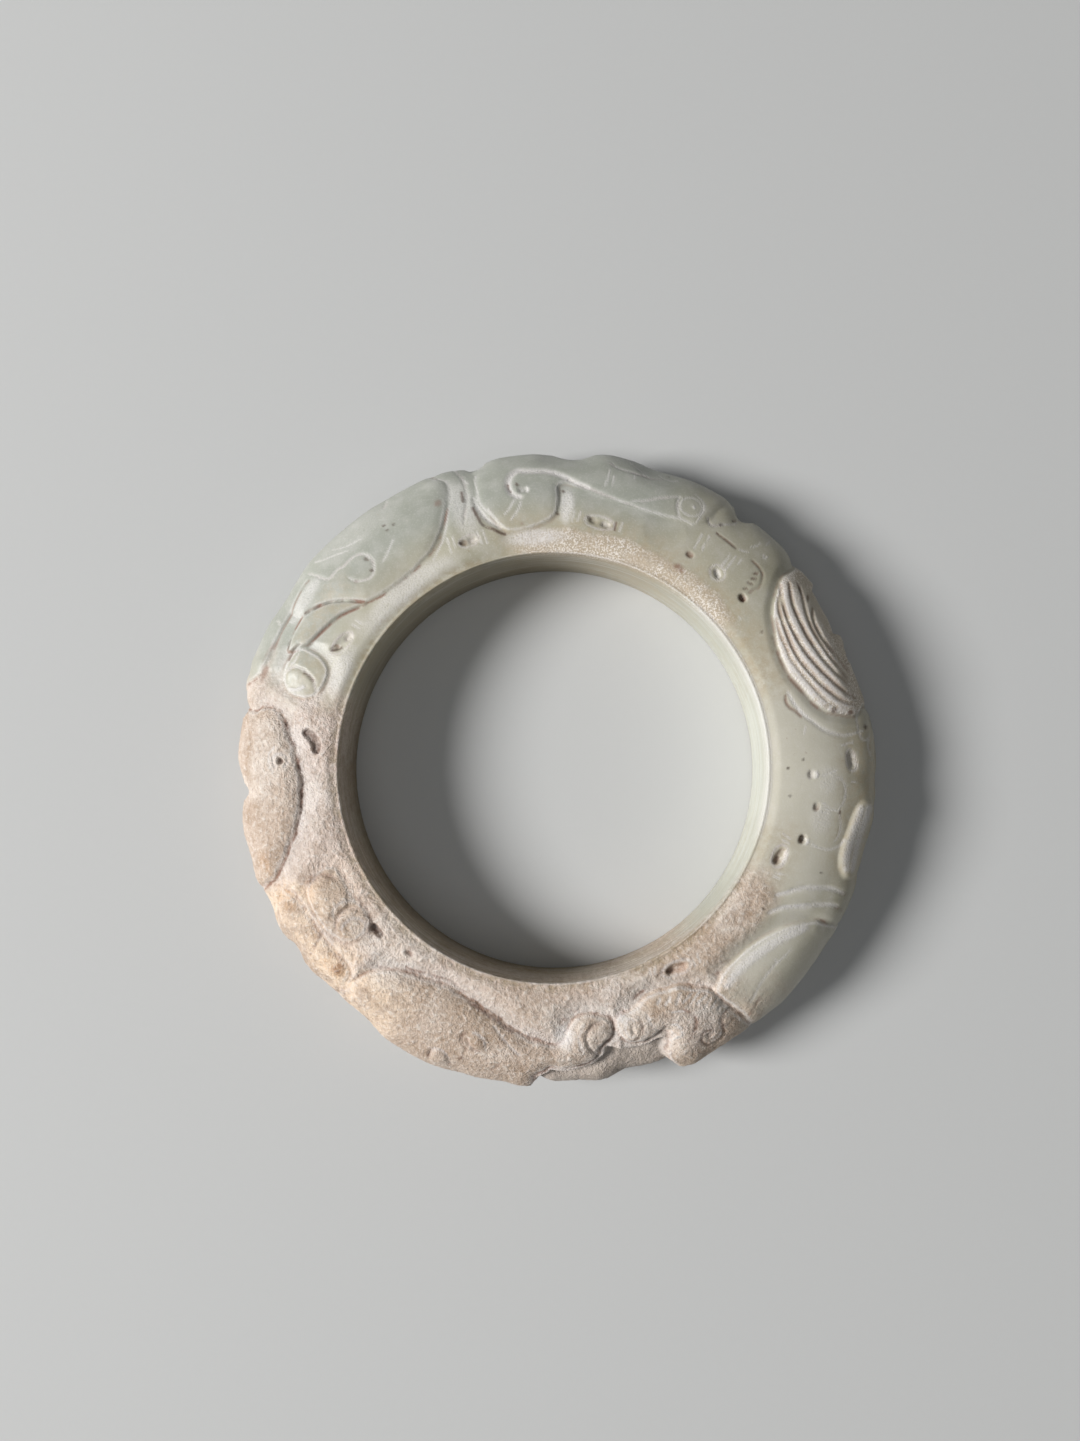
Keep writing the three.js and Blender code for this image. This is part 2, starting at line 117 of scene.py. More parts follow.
# Bodies that stand up from the ground, drawn in degrees round the ring and mm from the
# bore's upper edge. lift: height over the plain ring; sunk: depth of the ground beside it,
# reach: how far that runs, between the angles in round; lip: share of the height that rises
# steeply, the rest rounds up over roll mm; rust, dust: deposits at its foot.
bodies = {
    "flutedShell": {
        "lift": 0.1, "sunk": 0.25, "reach": 1.5, "roll": 1.5, "lip": 0.45, "round": (5, 45),
        "rust": 0.5, "dust": 0.5, "outline": [
            (39, 15), (39.1, 13.5), (39.2, 12), (38, 10), (36, 8.1), (34.2, 7), (32, 6.3),
            (28, 5.3), (25.5, 5.05), (23, 5), (20.5, 5.15), (18, 5.8), (13, 7.3), (11.8, 8.1),
            (10.7, 9), (9.8, 11), (9.4, 12), (9.2, 13), (9.6, 14), (10.8, 15.6), (11.5, 21),
            (39, 21)]},
    "dragonHead": {
        "lift": 0.15, "sunk": 0.2, "reach": 3, "roll": 1.2, "lip": 0.5, "round": (84, 104),
        "rust": 0.25, "dust": 0.6, "outline": [
            (105, 21), (104.7, 13.4), (105.2, 10.5), (105.2, 8.8), (104.6, 7.2), (103.3, 5.4),
            (102, 4), (100.5, 3.2), (98.5, 3), (96, 3.05), (94, 3.3), (92, 3.7), (90.5, 4.1),
            (89.3, 4.7), (88.6, 5.4), (88.3, 6.3), (88.2, 7.3), (88.3, 8.3), (88.4, 9.3),
            (87.3, 9.8), (84.5, 9.2), (82, 8.6), (79, 8.1), (75, 7.8), (70, 7.7), (65, 8),
            (62, 8.5), (59.5, 8.8), (58, 9.7), (57.2, 11), (57, 13), (56.5, 21)]},
    "largeLeaf": {
        "lift": 0.25, "sunk": 0.2, "reach": 3, "roll": 1.6, "lip": 0.4, "round": (112, 146),
        "rust": 0.9, "dust": 0.4, "outline": [
            (150, 21), (149.3, 13), (148.8, 11), (147.3, 10.5), (145.3, 9.6), (143.5, 8.5),
            (141.5, 7), (139.8, 5.4), (138.5, 4.4), (137, 4), (135, 3.6), (133, 3.4), (130, 3.2),
            (127, 3.25), (124.5, 3.4), (122, 3.8), (120, 4.1), (118.5, 4.6), (117.2, 5.1),
            (116, 5.8), (114.9, 6.4), (114, 7.2), (113.2, 8), (112.4, 8.9), (111.8, 9.8),
            (111.3, 10.8), (110.8, 11.8), (110.6, 12.8), (110.9, 13.8), (111.6, 14.6),
            (112.4, 15.4), (112.7, 16.2), (113, 21)]},
    "neckBand": {
        "lift": 0.1, "sunk": 0.2, "reach": 2.4, "roll": 0.7, "lip": 0.5, "round": (138, 158),
        "rust": 0.9, "dust": 0.3, "outline": [
            (156.5, 10.6), (155, 10.95), (153, 11.1), (151, 11.1), (148.8, 11), (146.4, 10),
            (144, 8.9), (141.8, 7.2), (140, 5.6), (139, 4.5), (140.5, 4.9), (142, 5.4), (144, 6.1),
            (146, 6.6), (148, 7), (150, 7.4), (152, 7.8), (154, 8.3)]},
    "neckCrest": {
        "lift": 0.2, "sunk": 0.1, "reach": 2, "roll": 0.9, "lip": 0.4, "round": (142.5, 165),
        "rust": 0.6, "dust": 0.4, "outline": [
            (166, 21), (165, 16), (164, 14.8), (162, 13.8), (160, 13.2), (157, 13.2), (154, 13.3),
            (151, 13.4), (148, 13.6), (144, 13.8), (142.5, 13.6), (141, 13.4), (140.5, 21)]},
    "neckScroll": {
        "lift": -0.35, "sunk": 0.4, "reach": 2.5, "roll": 0.9, "lip": 0.6, "round": (150, 170),
        "rust": 0.3, "dust": 0.8, "outline": [
            (154.4, 7.5), (154.5, 6.5), (154.8, 5.6), (155.4, 4.8), (156.4, 4), (157.8, 3.6),
            (159.5, 3.5), (161, 3.6), (162.4, 3.9), (163.5, 4.3), (164.5, 5), (165, 6), (165.1, 7),
            (164.8, 8), (164.3, 8.7), (163, 9.7), (161, 10.4), (158.5, 10.3), (156, 9.9),
            (154.6, 9)]},
    "longLeaf": {
        "lift": 0.05, "sunk": 0.65, "reach": 4, "roll": 2.4, "lip": 0.35, "round": (164, 206),
        "rust": 0.8, "dust": 0.5, "outline": [
            (203, 21), (202.5, 14), (201.8, 12), (200, 10.4), (198, 8.8), (196.8, 8.1), (195, 7),
            (193, 6.3), (191, 5.8), (189, 5.4), (187, 5.1), (185, 5), (183, 4.95), (181, 5.2),
            (179, 5.5), (177, 5.9), (175, 6.4), (173.5, 7), (172, 7.6), (170.5, 8.2), (169.3, 9),
            (168.5, 9.7), (168.2, 10.5), (168.4, 11.5), (168.8, 12.5), (169.5, 13.3),
            (170.5, 21)]},
    "wornScroll": {
        "lift": -0.15, "sunk": 0.3, "reach": 2, "roll": 1.8, "lip": 0.2, "round": (200, 226),
        "rust": 0.35, "dust": 0.5, "outline": [
            (222, 4), (222, 5), (221.7, 6), (221, 7), (220, 7.8), (218.5, 8.3), (216, 8.7),
            (213, 8.8), (210, 8.7), (208, 8.4), (206.3, 7.8), (205.3, 7), (204.5, 6), (204, 5),
            (203.8, 4), (205, 3), (209, 2.4), (213, 2.6), (218, 2.3), (221, 3)]},
    "wornWing": {
        "lift": -0.05, "sunk": 0.35, "reach": 1.5, "roll": 2.0, "lip": 0.2, "round": (200, 230),
        "rust": 0.4, "dust": 0.3, "outline": [
            (226.5, 21), (226.6, 12), (225.5, 10.2), (223.5, 9.5), (219, 9.6), (214, 9.8),
            (210, 9.9), (206.5, 10.5), (205, 11.6), (203.6, 13), (203.5, 21)]},
    "fishHead": {
        "lift": 0.0, "sunk": 0.65, "reach": 3.2, "roll": 2.2, "lip": 0.3, "round": (226, 286),
        "rust": 0.65, "dust": 0.4, "outline": [
            (266, 21), (266.5, 15), (267, 13.5), (268.5, 12.4), (270, 11.9), (272, 12.1),
            (275, 11.9), (277, 11.4), (278.8, 10.6), (279.5, 9.6), (281.3, 8.5), (282.5, 7.8),
            (283.2, 6.9), (283.3, 6), (282.5, 5.1), (281.2, 4.7), (280, 4.4), (278.2, 4),
            (276, 4.2), (274.2, 5.2), (273, 6.6), (272.2, 7.8), (270.6, 8.3), (268.5, 7.9),
            (265, 7.4), (261.5, 6.4), (258, 5.3), (254, 4.4), (250, 3.7), (246, 3.4), (244, 3.4),
            (242, 3.6), (238, 4.2), (234, 4.9), (231.5, 5.8), (229.2, 7.3), (228.2, 8.4),
            (227.5, 10), (227.3, 12), (227.5, 21)]},
    "crestedCreature": {
        "lift": 0.1, "sunk": 0.65, "reach": 3, "roll": 1.5, "lip": 0.4, "round": (282, 308),
        "rust": 0.5, "dust": 0.7, "outline": [
            (307, 21), (306.8, 13), (306.3, 11.3), (306, 10), (305.6, 8), (304.9, 7.2), (304, 6.4),
            (302.5, 5.6), (301.2, 5), (299.5, 4.3), (297.5, 4), (295.5, 3.8), (293.5, 3.75),
            (292, 3.8), (290.5, 4.2), (289, 4.7), (287.5, 4.9), (286, 5), (284.8, 5.3), (284, 6),
            (283.9, 7.3), (284.3, 8.2), (285, 9), (286.2, 9.6), (288, 10), (290, 9.85),
            (292.3, 9.4), (293.6, 9.6), (293.2, 11.3), (292, 12.8), (291.8, 13.8), (292.2, 15),
            (293, 21)]},
    "paleLeaf": {
        "lift": 0.2, "sunk": 0.36, "reach": 2.6, "roll": 1.8, "lip": 0.4, "round": (303, 332),
        "rust": 0.25, "dust": 0.8, "outline": [
            (330.8, 21), (330.6, 15.8), (330.3, 14.5), (330, 13.4), (329.7, 12.3), (329, 11.5),
            (328.2, 10.8), (327.3, 10), (326.5, 9.4), (325.5, 8.8), (324.3, 8.2), (323, 7.7),
            (321.5, 7.2), (320, 6.8), (318.5, 6.5), (317, 6.3), (315, 6.2), (313, 6.2), (311, 6.3),
            (309.5, 6.4), (308, 6.8), (306.7, 7.3), (305.9, 8), (305.9, 8.8), (306.3, 10),
            (306.9, 11.5), (307.5, 14), (308, 21)]},
    "almondLeaf": {
        "lift": 0.35, "sunk": 0.0, "reach": 1, "roll": 0.8, "lip": 0.6, "round": (0, 1),
        "rust": 0.0, "dust": 0.0, "outline": [
            (353.8, 14), (353.3, 13.3), (352.2, 12.7), (351, 12.3), (349.5, 12), (348, 11.8),
            (346.5, 11.6), (345, 11.4), (343.2, 11.4), (341.8, 11.6), (340.5, 12), (339.8, 12.5),
            (339, 13.2), (339, 14), (340, 15.5), (343, 17), (348, 17.4), (352, 16.6),
            (353.8, 15.2)]},
}

# sunk panels with crisp edges
recesses = [
    {"depth": 1.3, "outline": [
        (292.2, 12.6), (292.6, 10.4), (290.5, 10.2), (288, 10.5), (286, 10.3), (284, 9.9),
        (282.2, 9.3), (280.6, 9.3), (280, 10.4), (278.8, 11.2), (277, 11.9), (275, 12.3),
        (272, 12.6), (270, 12.4), (268.7, 12.9), (267.3, 13.9), (266.8, 15), (266.4, 21),
        (292.8, 21), (292.2, 15), (291.8, 13.8)]},
    {"depth": 0.7, "outline": [
        (34.6, 21), (34.4, 15), (33.6, 13.6), (31, 12.9), (28, 12.7), (26, 13), (24.6, 14),
        (24.3, 15.5), (24.3, 21)]},
]

# Soft hollows, and swellings where the depth is negative: angle, distance, half sizes
# in degrees and mm, depth.
hollows = [
    (210.5, 5.8, 5.2, 3.0, -0.35), (219.6, 5.2, 4.6, 2.7, -0.65), (215.3, 5.2, 1.2, 3, 0.3),
    (23.4, 15.4, 2.0, 1.5, -0.5), (255.0, 9.2, 2.6, 1.8, -0.3), (248.6, 13.6, 2.2, 1.5, -0.35),
    (78.7, 4.5, 3.6, 0.9, 0.22), (110.2, 3.4, 2.5, 0.8, 0.22), (149.7, 3.8, 3.3, 0.9, 0.22),
    (301.4, 2.3, 3.6, 0.9, 0.3), (338.2, 3.4, 2.8, 1.0, 0.16), (49.1, 5.2, 2.0, 1.0, 0.14),
    (0.9, 11.5, 2.2, 0.8, 0.12), (20, 16, 1.4, 1.8, 0.9), (52.5, 17.5, 2.2, 3, 0.7),
    (86, 18, 4, 3.4, 0.6), (104.5, 18, 2.2, 3.4, 0.6), (169.7, 18, 1.6, 3, 0.5),
    (184.8, 17.5, 1.6, 3.4, 0.8), (206, 18, 3, 3, 0.3), (215.6, 18, 2.4, 3, 0.4),
    (230, 18, 6, 4, 0.4), (76, 6.2, 7, 2.2, 0.12), (64, 6.0, 5, 2.6, 0.12),
]

# Oval eyelets: angle, distance, half length and half width in mm, turn in degrees.
eyelets = [
    (78.7, 4.5, 2.1, 0.95, 4), (110.2, 3.4, 1.45, 0.8, 0), (149.7, 3.8, 1.9, 0.9, 14),
    (301.4, 2.3, 2.1, 0.95, 8), (338.2, 3.4, 1.6, 1.0, 4), (49.1, 5.2, 1.15, 1.0, 20),
    (0.9, 11.5, 1.5, 0.75, -10),
]

# Kinds of cut: half width and depth in mm, how much of it has a flat bottom, how far its
# ends taper, and how much white dust, rust and dark soil is left in it.
cutKinds = {
    #             half  depth  flat taper white rust dark
    "flute":     (0.52, 0.27, 0.0, 0.7, 0.00, 0.42, 0.00),
    "fluteFine": (0.46, 0.20, 0.0, 0.8, 0.00, 0.34, 0.00),
    "rim":       (0.26, 0.09, 0.0, 0.0, 0.65, 0.20, 0.00),
    "bean":      (0.86, 0.60, 0.4, 0.2, 0.00, 0.80, 0.55),
    "eyePit":    (0.80, 0.30, 0.4, 0.2, 0.00, 0.42, 0.00),
    "gouge":     (0.42, 0.15, 0.0, 0.8, 0.60, 0.00, 0.00),
    "spiral":    (0.78, 0.23, 0.0, 0.5, 0.85, 0.05, 0.00),
    "sweep":     (0.58, 0.20, 0.0, 0.6, 0.65, 0.00, 0.00),
    "groove":    (0.34, 0.13, 0.0, 0.6, 0.60, 0.15, 0.00),
    "crease":    (0.46, 0.32, 0.0, 0.6, 0.10, 0.30, 0.05),
    "notch":     (0.27, 0.12, 0.0, 0.3, 0.80, 0.00, 0.00),
    "line":      (0.28, 0.06, 0.0, 0.5, 0.60, 0.00, 0.00),
    "soilLine":  (0.32, 0.14, 0.0, 0.5, 0.00, 0.55, 0.40),
    "rustLine":  (0.32, 0.10, 0.0, 0.5, 0.00, 0.70, 0.10),
    "tick":      (0.26, 0.05, 0.0, 0.3, 0.60, 0.00, 0.00),
    "dashSoil":  (0.27, 0.08, 0.0, 0.3, 0.00, 0.60, 0.50),
    "pit":       (0.58, 0.60, 0.3, 0.0, 0.00, 0.90, 0.60),
    "brownPit":  (0.54, 0.20, 0.3, 0.0, 0.00, 0.65, 0.25),
    "palePit":   (0.56, 0.22, 0.4, 0.0, 0.40, 0.15, 0.00),
    "crust":     (0.56, 0.24, 0.4, 0.0, 0.70, 0.30, 0.05),
    "frost":     (1.10, 0.00, 0.0, 0.5, 0.80, 0.00, 0.00),
    "fill":      (0.38, 0.00, 0.0, 0.3, 0.85, 0.00, 0.00),
    "stain":     (0.40, 0.00, 0.0, 0.4, 0.00, 0.70, 0.10),
    "soil":      (0.34, 0.00, 0.0, 0.3, 0.00, 0.45, 0.70),
}

# The cuts, feature by feature: lines by their kind, in degrees and mm.
shellCuts = {
    "flute": [[(31, 12.7), (30, 12), (28.5, 11.6), (27, 11.5), (25, 11.6), (23, 12), (21.5, 12.5),
        (20, 13.1), (18.5, 13.9), (17.7, 14.6)], [(37.5, 12), (36, 11.2), (34, 10.4), (31.5, 9.9),
        (29, 9.7), (26.5, 9.65), (24, 9.9), (21.5, 10.3), (19.5, 10.9), (18, 11.4), (16.5, 12.3),
        (15.2, 13)], [(38.2, 10.8), (36.5, 9.8), (34, 8.9), (31.5, 8.4), (29, 8.2), (26.5, 8.2),
        (24, 8.4), (21.5, 8.9), (19, 9.6), (17, 10.4), (15.3, 11.2), (13.5, 12.5), (12.5, 13.8)],
        [(36.5, 9.3), (34, 8.1), (31, 7.5), (28, 7.1), (25, 7), (22, 7.3), (19.5, 7.9), (17, 8.7),
        (15, 9.6), (13, 10.8), (12, 12), (11.2, 13.5)]],
    "fluteFine": [[(36, 13.1), (34.5, 12.5), (33.2, 12), (31.5, 11.4), (29.5, 11), (27.5, 10.8),
        (25, 10.9), (22.5, 11.2), (20.5, 11.6), (18.5, 12.4), (17, 13), (16, 13.5)], [(33, 7),
        (30, 6.4), (27, 6.2), (24, 6.1), (21, 6.5), (18, 7.2), (15, 8.1), (13, 9), (11.6, 10.2)]],
    "dashSoil": [[(33.5, 13.3), (32.7, 12.7)]],
    "soil": [[(36.4, 13), (35.4, 12.7), (34.4, 12.4)]],
    "gouge": [[(6.3, 14), (6.1, 13), (5.9, 12), (5.8, 11), (5.9, 10.2), (6.3, 9.2), (6.8, 8.4),
        (7.5, 7.6), (8.6, 6.8), (9.6, 6.2), (10.7, 5.5), (12, 4.9), (13.5, 4.5), (15, 4.2),
        (16.5, 4), (17.3, 3.9)]],
    "fill": [[(9.6, 6.2), (11.5, 5.2), (13.5, 4.5), (15, 4.2), (16.2, 4.05)]],
    "rustLine": [[(16.4, 3.5), (15, 3.3), (13.6, 3.6), (12.5, 4.2), (10.8, 4.9)]],
    "stain": [[(30, 5.2), (25, 4.7), (20.5, 4.8), (17.5, 5.5), (14, 6.6), (12, 7.5), (10.6, 8.7)]],
    "line": [[(5.2, 15.1), (4.5, 14.7), (3.5, 14.5), (2.3, 14.7), (1.3, 15.1)]],
    "tick": [[(8.6, 5.2), (6.9, 4.8)], [(38.3, 3), (37.5, 3)]],
}

eyeletCuts = {
    "palePit": [[(1.7, 11.4), (0.1, 11.7)], [(77.6, 4.4), (76.8, 4.35)], [(109.7, 3.3),
        (109, 3.3)], [(148.2, 3.5), (147.6, 3.4)]],
    "line": [[(2.6, 11.6), (1, 12.2), (-0.3, 12.5), (-1.1, 12.1)]],
    "tick": [[(4.4, 12), (4.2, 11)], [(4.1, 11), (3.9, 10.2)], [(-3.1, 12.2), (-3.2, 11.6)],
        [(84.6, 5.6), (85.2, 4.1)], [(83.3, 5.6), (83.9, 4.2)], [(73.6, 5.3), (73.7, 3.8)],
        [(114.7, 5), (115.2, 2.7)], [(113.4, 4.8), (113.8, 3.2)], [(107.7, 4.4), (107.4, 2.4)],
        [(106.3, 4.3), (106.1, 2.2)], [(144.7, 4), (144.5, 2.8)], [(143.4, 4), (143.3, 2.8)],
        [(154.7, 3.9), (153.8, 5.2)], [(153.9, 3.7), (153, 5)], [(169.9, 5.8), (169.2, 5.2)],
        [(307, 3.5), (307.9, 2.2)], [(305.4, 3.5), (306.2, 2.4)], [(296.4, 1.6), (296.8, 1.1)],
        [(295.4, 1.6), (295.7, 0.7)], [(342.8, 4), (343.4, 2.9)], [(341.7, 4), (342, 3)],
        [(334.7, 4.8), (334.2, 3.8)], [(333.5, 4.6), (333.4, 3.7)]],
    "brownPit": [[(80.7, 4.75), (80.1, 4.6)], [(111.7, 3.45), (111.4, 3.4)], [(151.9, 4.5),
        (151.2, 4.2)], [(233.1, 2.3), (232.8, 2.3)], [(300.3, 2.2), (299.6, 2.1)], [(337.4, 3.3),
        (336.7, 3.2)]],
    "soil": [[(81.6, 5), (80.8, 4.8)], [(112.5, 3.6), (112, 3.4)], [(152.4, 4.7), (151.8, 4.1),
        (150.8, 3.6)], [(299.3, 2.1), (299, 2)]],
    "dashSoil": [[(75, 5), (74.8, 3.9)]],
    "bean": [[(176.2, 2.7), (174.9, 2.8), (173.5, 3.4), (172.5, 4.3)]],
    "pit": [[(224.5, 3), (222.4, 2.9)]],
    "eyePit": [[(303, 2.5), (301, 2.25), (299.8, 2.1)], [(339.2, 3.6), (337.2, 3.3)]],
    "fill": [[(339.8, 4.1), (338, 4.2), (336, 4)]],
}

tailedPits = {
    "brownPit": [[(56.8, 4.95), (56.4, 4.95)], [(351.2, 6.6), (350.8, 6.6)]],
    "line": [[(56.8, 8.6), (56.7, 7.5), (56.5, 6)], [(49.5, 8.4), (49.4, 6.3)], [(48.5, 8.8),
        (48.2, 6.2)], [(357.7, 7), (358.2, 8), (358.6, 8.6), (358.9, 9.3)], [(350.8, 8),
        (350.9, 9.9)], [(343, 7), (342.8, 8.2), (342.8, 9), (343.1, 9.8), (343.7, 10.5),
        (344.4, 11.1), (345, 11.4), (345.8, 11.5)], [(357.8, 9), (357.2, 9.9), (356.3, 10.4),
        (355, 10.65), (353.8, 10.65), (352.5, 10.4), (351.3, 9.9)], [(350.2, 10.1), (349, 10.4),
        (347.5, 10.6), (346.3, 10.6), (345, 10.2)], [(5.4, 15.2), (4.6, 14.2), (5, 13.4),
        (7, 13.1), (9, 13.5), (10, 14.4)]],
    "tick": [[(55.4, 9), (55.2, 8.2)], [(55.3, 7.5), (54.8, 6.5)], [(47.2, 9), (47, 8.2)],
        [(351.9, 7.4), (351.3, 8.4)], [(350.3, 7.3), (350.2, 8.5)]],
    "crust": [[(49.4, 5.3), (48.6, 5)]],
    "pit": [[(41.3, 5.1), (40.9, 5.1)], [(343.7, 5.6), (343.3, 5.6)]],
    "rustLine": [[(41, 6.3), (40.8, 7.2), (40.6, 8), (40.9, 8.7), (41.4, 9.2), (42, 9.7), (43, 10),
        (44.2, 10.1), (45.5, 10.05)]],
    "dashSoil": [[(42.85, 9.2), (43.35, 8.8)], [(42.2, 8.5), (43, 8)], [(41.9, 7.5), (42.8, 7.2)],
        [(42, 6.5), (42.5, 6.1)], [(54.5, 9.9), (52, 9.85), (49.5, 9.8)]],
    "palePit": [[(358.1, 5.5), (357.7, 5.5)]],
    "fill": [[(358.4, 6.2), (357.9, 6.35), (357.4, 6.2)], [(343.7, 6.35), (343.2, 6.45),
        (342.8, 6.3)]],
    "soil": [[(350.8, 10.1), (350.6, 10.1)]],
    "frost": [[(352, 13.2), (349, 12.9), (346, 12.6), (343, 12.5), (340.6, 13)], [(352.5, 14.4),
        (349, 14), (345, 13.8), (341, 14)]],
}

sweepCuts = {
    "sweep": [[(336.3, 14.2), (336.3, 13.2), (336.2, 12.3), (336, 11.5), (335.6, 10.7),
        (335.2, 10), (334.7, 9.2), (334.1, 8.3), (333.4, 7.7), (332.7, 7.1), (331.8, 6.6),
        (331, 6), (330, 5.3)], [(333.7, 14.2), (333.5, 13.2), (333, 12.3), (332.4, 11.4),
        (331.9, 10.6), (331.2, 9.9), (330.6, 9.2), (330, 8.5), (329.3, 7.8), (328.6, 7.1),
        (327.8, 6.6), (326.8, 6.1), (325.8, 5.7)]],
    "fill": [[(331.2, 9.6), (329.9, 8.2), (328.4, 6.9), (326.8, 6.1)], [(333, 7.2), (331.6, 6.3),
        (330.3, 5.5)]],
    "stain": [[(336.3, 14.6), (336.3, 14)], [(333.4, 15.5), (333.3, 14)], [(330.1, 14.2),
        (330.1, 13)], [(312, 12.5), (310, 13.2), (308, 14.3)], [(310, 6), (307.8, 6.3)],
        [(312.3, 5.9), (310.5, 5.4)]],
    "frost": [[(308.5, 8), (312, 7.5), (316, 7.6), (320, 8.2), (324, 9.4), (327.5, 11.1)]],
    "line": [[(322, 11), (318, 10.6), (314, 10.9), (310, 12.2)], [(319.2, 10.1), (318.5, 10.6),
        (317.7, 10.4)]],
}

creatureCuts = {
    "soilLine": [[(306.8, 12), (306.3, 11.3), (305.6, 11.05), (304.8, 11.1), (304, 11.5),
        (303.5, 12.1), (303.2, 12.8), (302.9, 13.5), (302.4, 14.1), (301.8, 14.5), (301, 14.65),
        (300.2, 14.5), (299.4, 14.3), (298.9, 13.8), (298.6, 13.1), (298.8, 12.4), (299.3, 12),
        (300, 11.8), (300.7, 11.9), (301.2, 12.2)], [(294.2, 8.5), (293.3, 8.9), (292.3, 9.4),
        (291, 9.7), (289.5, 9.9), (288, 10), (287, 9.8)], [(289.3, 6.2), (289.4, 7.2), (289.1, 8),
        (288.4, 8.6), (287.5, 9.05), (286.7, 9.15), (285.9, 9)]],
    "line": [[(305.6, 10.7), (304.6, 10.8), (303.6, 11.3), (303, 12), (302.7, 12.8), (302.3, 13.4),
        (301.6, 13.9), (300.8, 14), (300, 13.8)], [(294.8, 10), (294.2, 10.5)], [(292, 9),
        (291.5, 8.5), (290.8, 8.4)], [(291.1, 8), (291, 7), (290.8, 6)], [(290, 8.3), (289.2, 9),
        (288.3, 9.4), (287, 9.6), (285.8, 9.4), (284.9, 8.8)], [(286.9, 8.5), (285.9, 8),
        (285.6, 7.1), (286, 6.2), (287.2, 5.8), (288.3, 6.4)]],
    "palePit": [[(300.3, 12.8), (300.1, 12.7)]],
    "rustLine": [[(296, 11.9), (297, 11.6), (298, 11.1), (298.8, 10.6), (299.3, 10), (299.6, 9.3),
        (299.5, 8.6), (299.1, 8), (298.7, 7.6)], [(294, 2.9), (292.5, 3.05), (291, 3.1),
        (290, 3.35), (289, 3.7)]],
    # this fill, along the nose lobe's edge that faces the lamp, is a painted highlight
    "fill": [[(293.2, 11.3), (294.5, 10.9), (295.7, 10.6), (296.1, 10), (296, 9.4), (295.5, 8.9),
        (294.7, 8.7)]],
    "notch": [[(304.8, 9.9), (304, 9.95)], [(304.9, 9), (303.4, 9.3)], [(304.3, 8.3),
        (302.2, 8.7)], [(304, 7.5), (301.3, 7.8)], [(303, 6.6), (300.2, 7.2)], [(301.5, 6.1),
        (299, 6.6)], [(299.3, 5.4), (297.3, 6.4)], [(297.2, 5.1), (295.3, 5.8)], [(295.1, 4.8),
        (293.8, 5.3)], [(298.5, 7.7), (296, 7.1)]],
    "crease": [[(287.5, 8.2), (287, 7.6), (287.1, 6.9)]],
}

fishCuts = {
    "soil": [[(283.3, 6), (283.2, 6.8), (282.9, 7.5), (282.2, 8.1), (281.3, 8.5), (280.3, 8.8),
        (279.8, 9.3), (279.4, 10), (278.8, 10.6), (278, 11.2), (277, 11.6), (275, 12)]],
    "crease": [[(278.8, 10), (278, 9.2), (277.3, 8.3), (277.2, 7.4), (277.7, 6.6), (278.6, 6),
        (279.8, 5.5), (281, 5.4)], [(256.3, 10.4), (254.8, 10.3), (253.4, 9.8), (253, 9)],
        [(247, 14.4), (246.6, 13.6), (246.9, 12.9), (247.5, 12.4)]],
    "line": [[(276.6, 9.4), (275.9, 8.5), (275.7, 7.4), (276.2, 6.3), (277.3, 5.4)]],
    "rustLine": [[(249.5, 2.9), (248, 2.9), (246, 2.65), (244, 2.6), (242, 2.9), (240, 3.1),
        (238, 3.4), (236, 3.9), (234, 4.2)], [(262, 6.9), (259, 5.9), (256, 5.1), (253, 4.5),
        (250.5, 4.1)], [(259, 13), (259.4, 12.5), (259.8, 12), (259.8, 11.4)]],
    "groove": [[(263.5, 9.7), (262.8, 9.3), (262, 9), (261, 8.4), (260, 7.8), (259, 7.2),
        (258, 6.6), (257.3, 6.3)], [(256.9, 9.9), (256.6, 9), (256.2, 8.5), (255.6, 8.1),
        (255, 7.9), (254, 7.8)], [(246.9, 13), (247.5, 12.5), (248.3, 12.2), (249.4, 12.3),
        (250.3, 13)]],
    "soilLine": [[(253.3, 10.6), (252.4, 10.1), (251.8, 9.5), (251.7, 8.8), (252.3, 8.2)],
        [(246.7, 14.6), (246.6, 13.9), (246.7, 13.2)], [(250.7, 15), (250.8, 14), (250.3, 13)]],
    "dashSoil": [[(252.5, 12.6), (253, 12)]],
}

wornCuts = {
    "rustLine": [[(227.3, 11), (227.4, 10), (227.8, 9.2), (228.3, 8.2), (229, 7.3), (229.8, 6.3),
        (231, 5.9)], [(218.2, 13.5), (217.9, 12.5), (217.5, 11.5), (217, 10.8), (216.4, 10),
        (215.8, 9.3)]],
    "groove": [[(214.9, 6.5), (213.7, 5.6), (213.4, 4.5), (213.7, 3.5), (214.5, 3)], [(221.8, 4.4),
        (220.6, 3.6), (218.9, 3.6), (217.6, 4.4), (217.3, 5.6), (218.2, 6.6)]],
    "crease": [[(217.5, 7.4), (215.9, 6.6), (215.2, 5.4), (215.6, 4), (216.8, 3.1)], [(205.8, 7),
        (205.3, 5.8), (205.9, 4.5), (207.4, 3.6)]],
}

leafCuts = {
    "soil": [[(191, 5.6), (188, 5.1), (185, 4.8), (182, 4.9), (180, 5.2)], [(173.6, 6.7),
        (172, 7.3), (170.8, 7.9)]],
    "pit": [[(179.1, 7.8), (179, 7.8)]],
    "groove": [[(180.4, 8.4), (179.2, 8.9), (178, 8.6), (177.6, 7.6), (178.4, 6.8), (179.6, 6.8),
        (180.4, 7.4)]],
    "line": [[(181.3, 8.7), (180.6, 9.2), (179.5, 9.5), (178.3, 9.5), (177, 9.2), (176.2, 8.7)]],
    "stain": [[(167.9, 11.6), (167.5, 11.6)]],
}

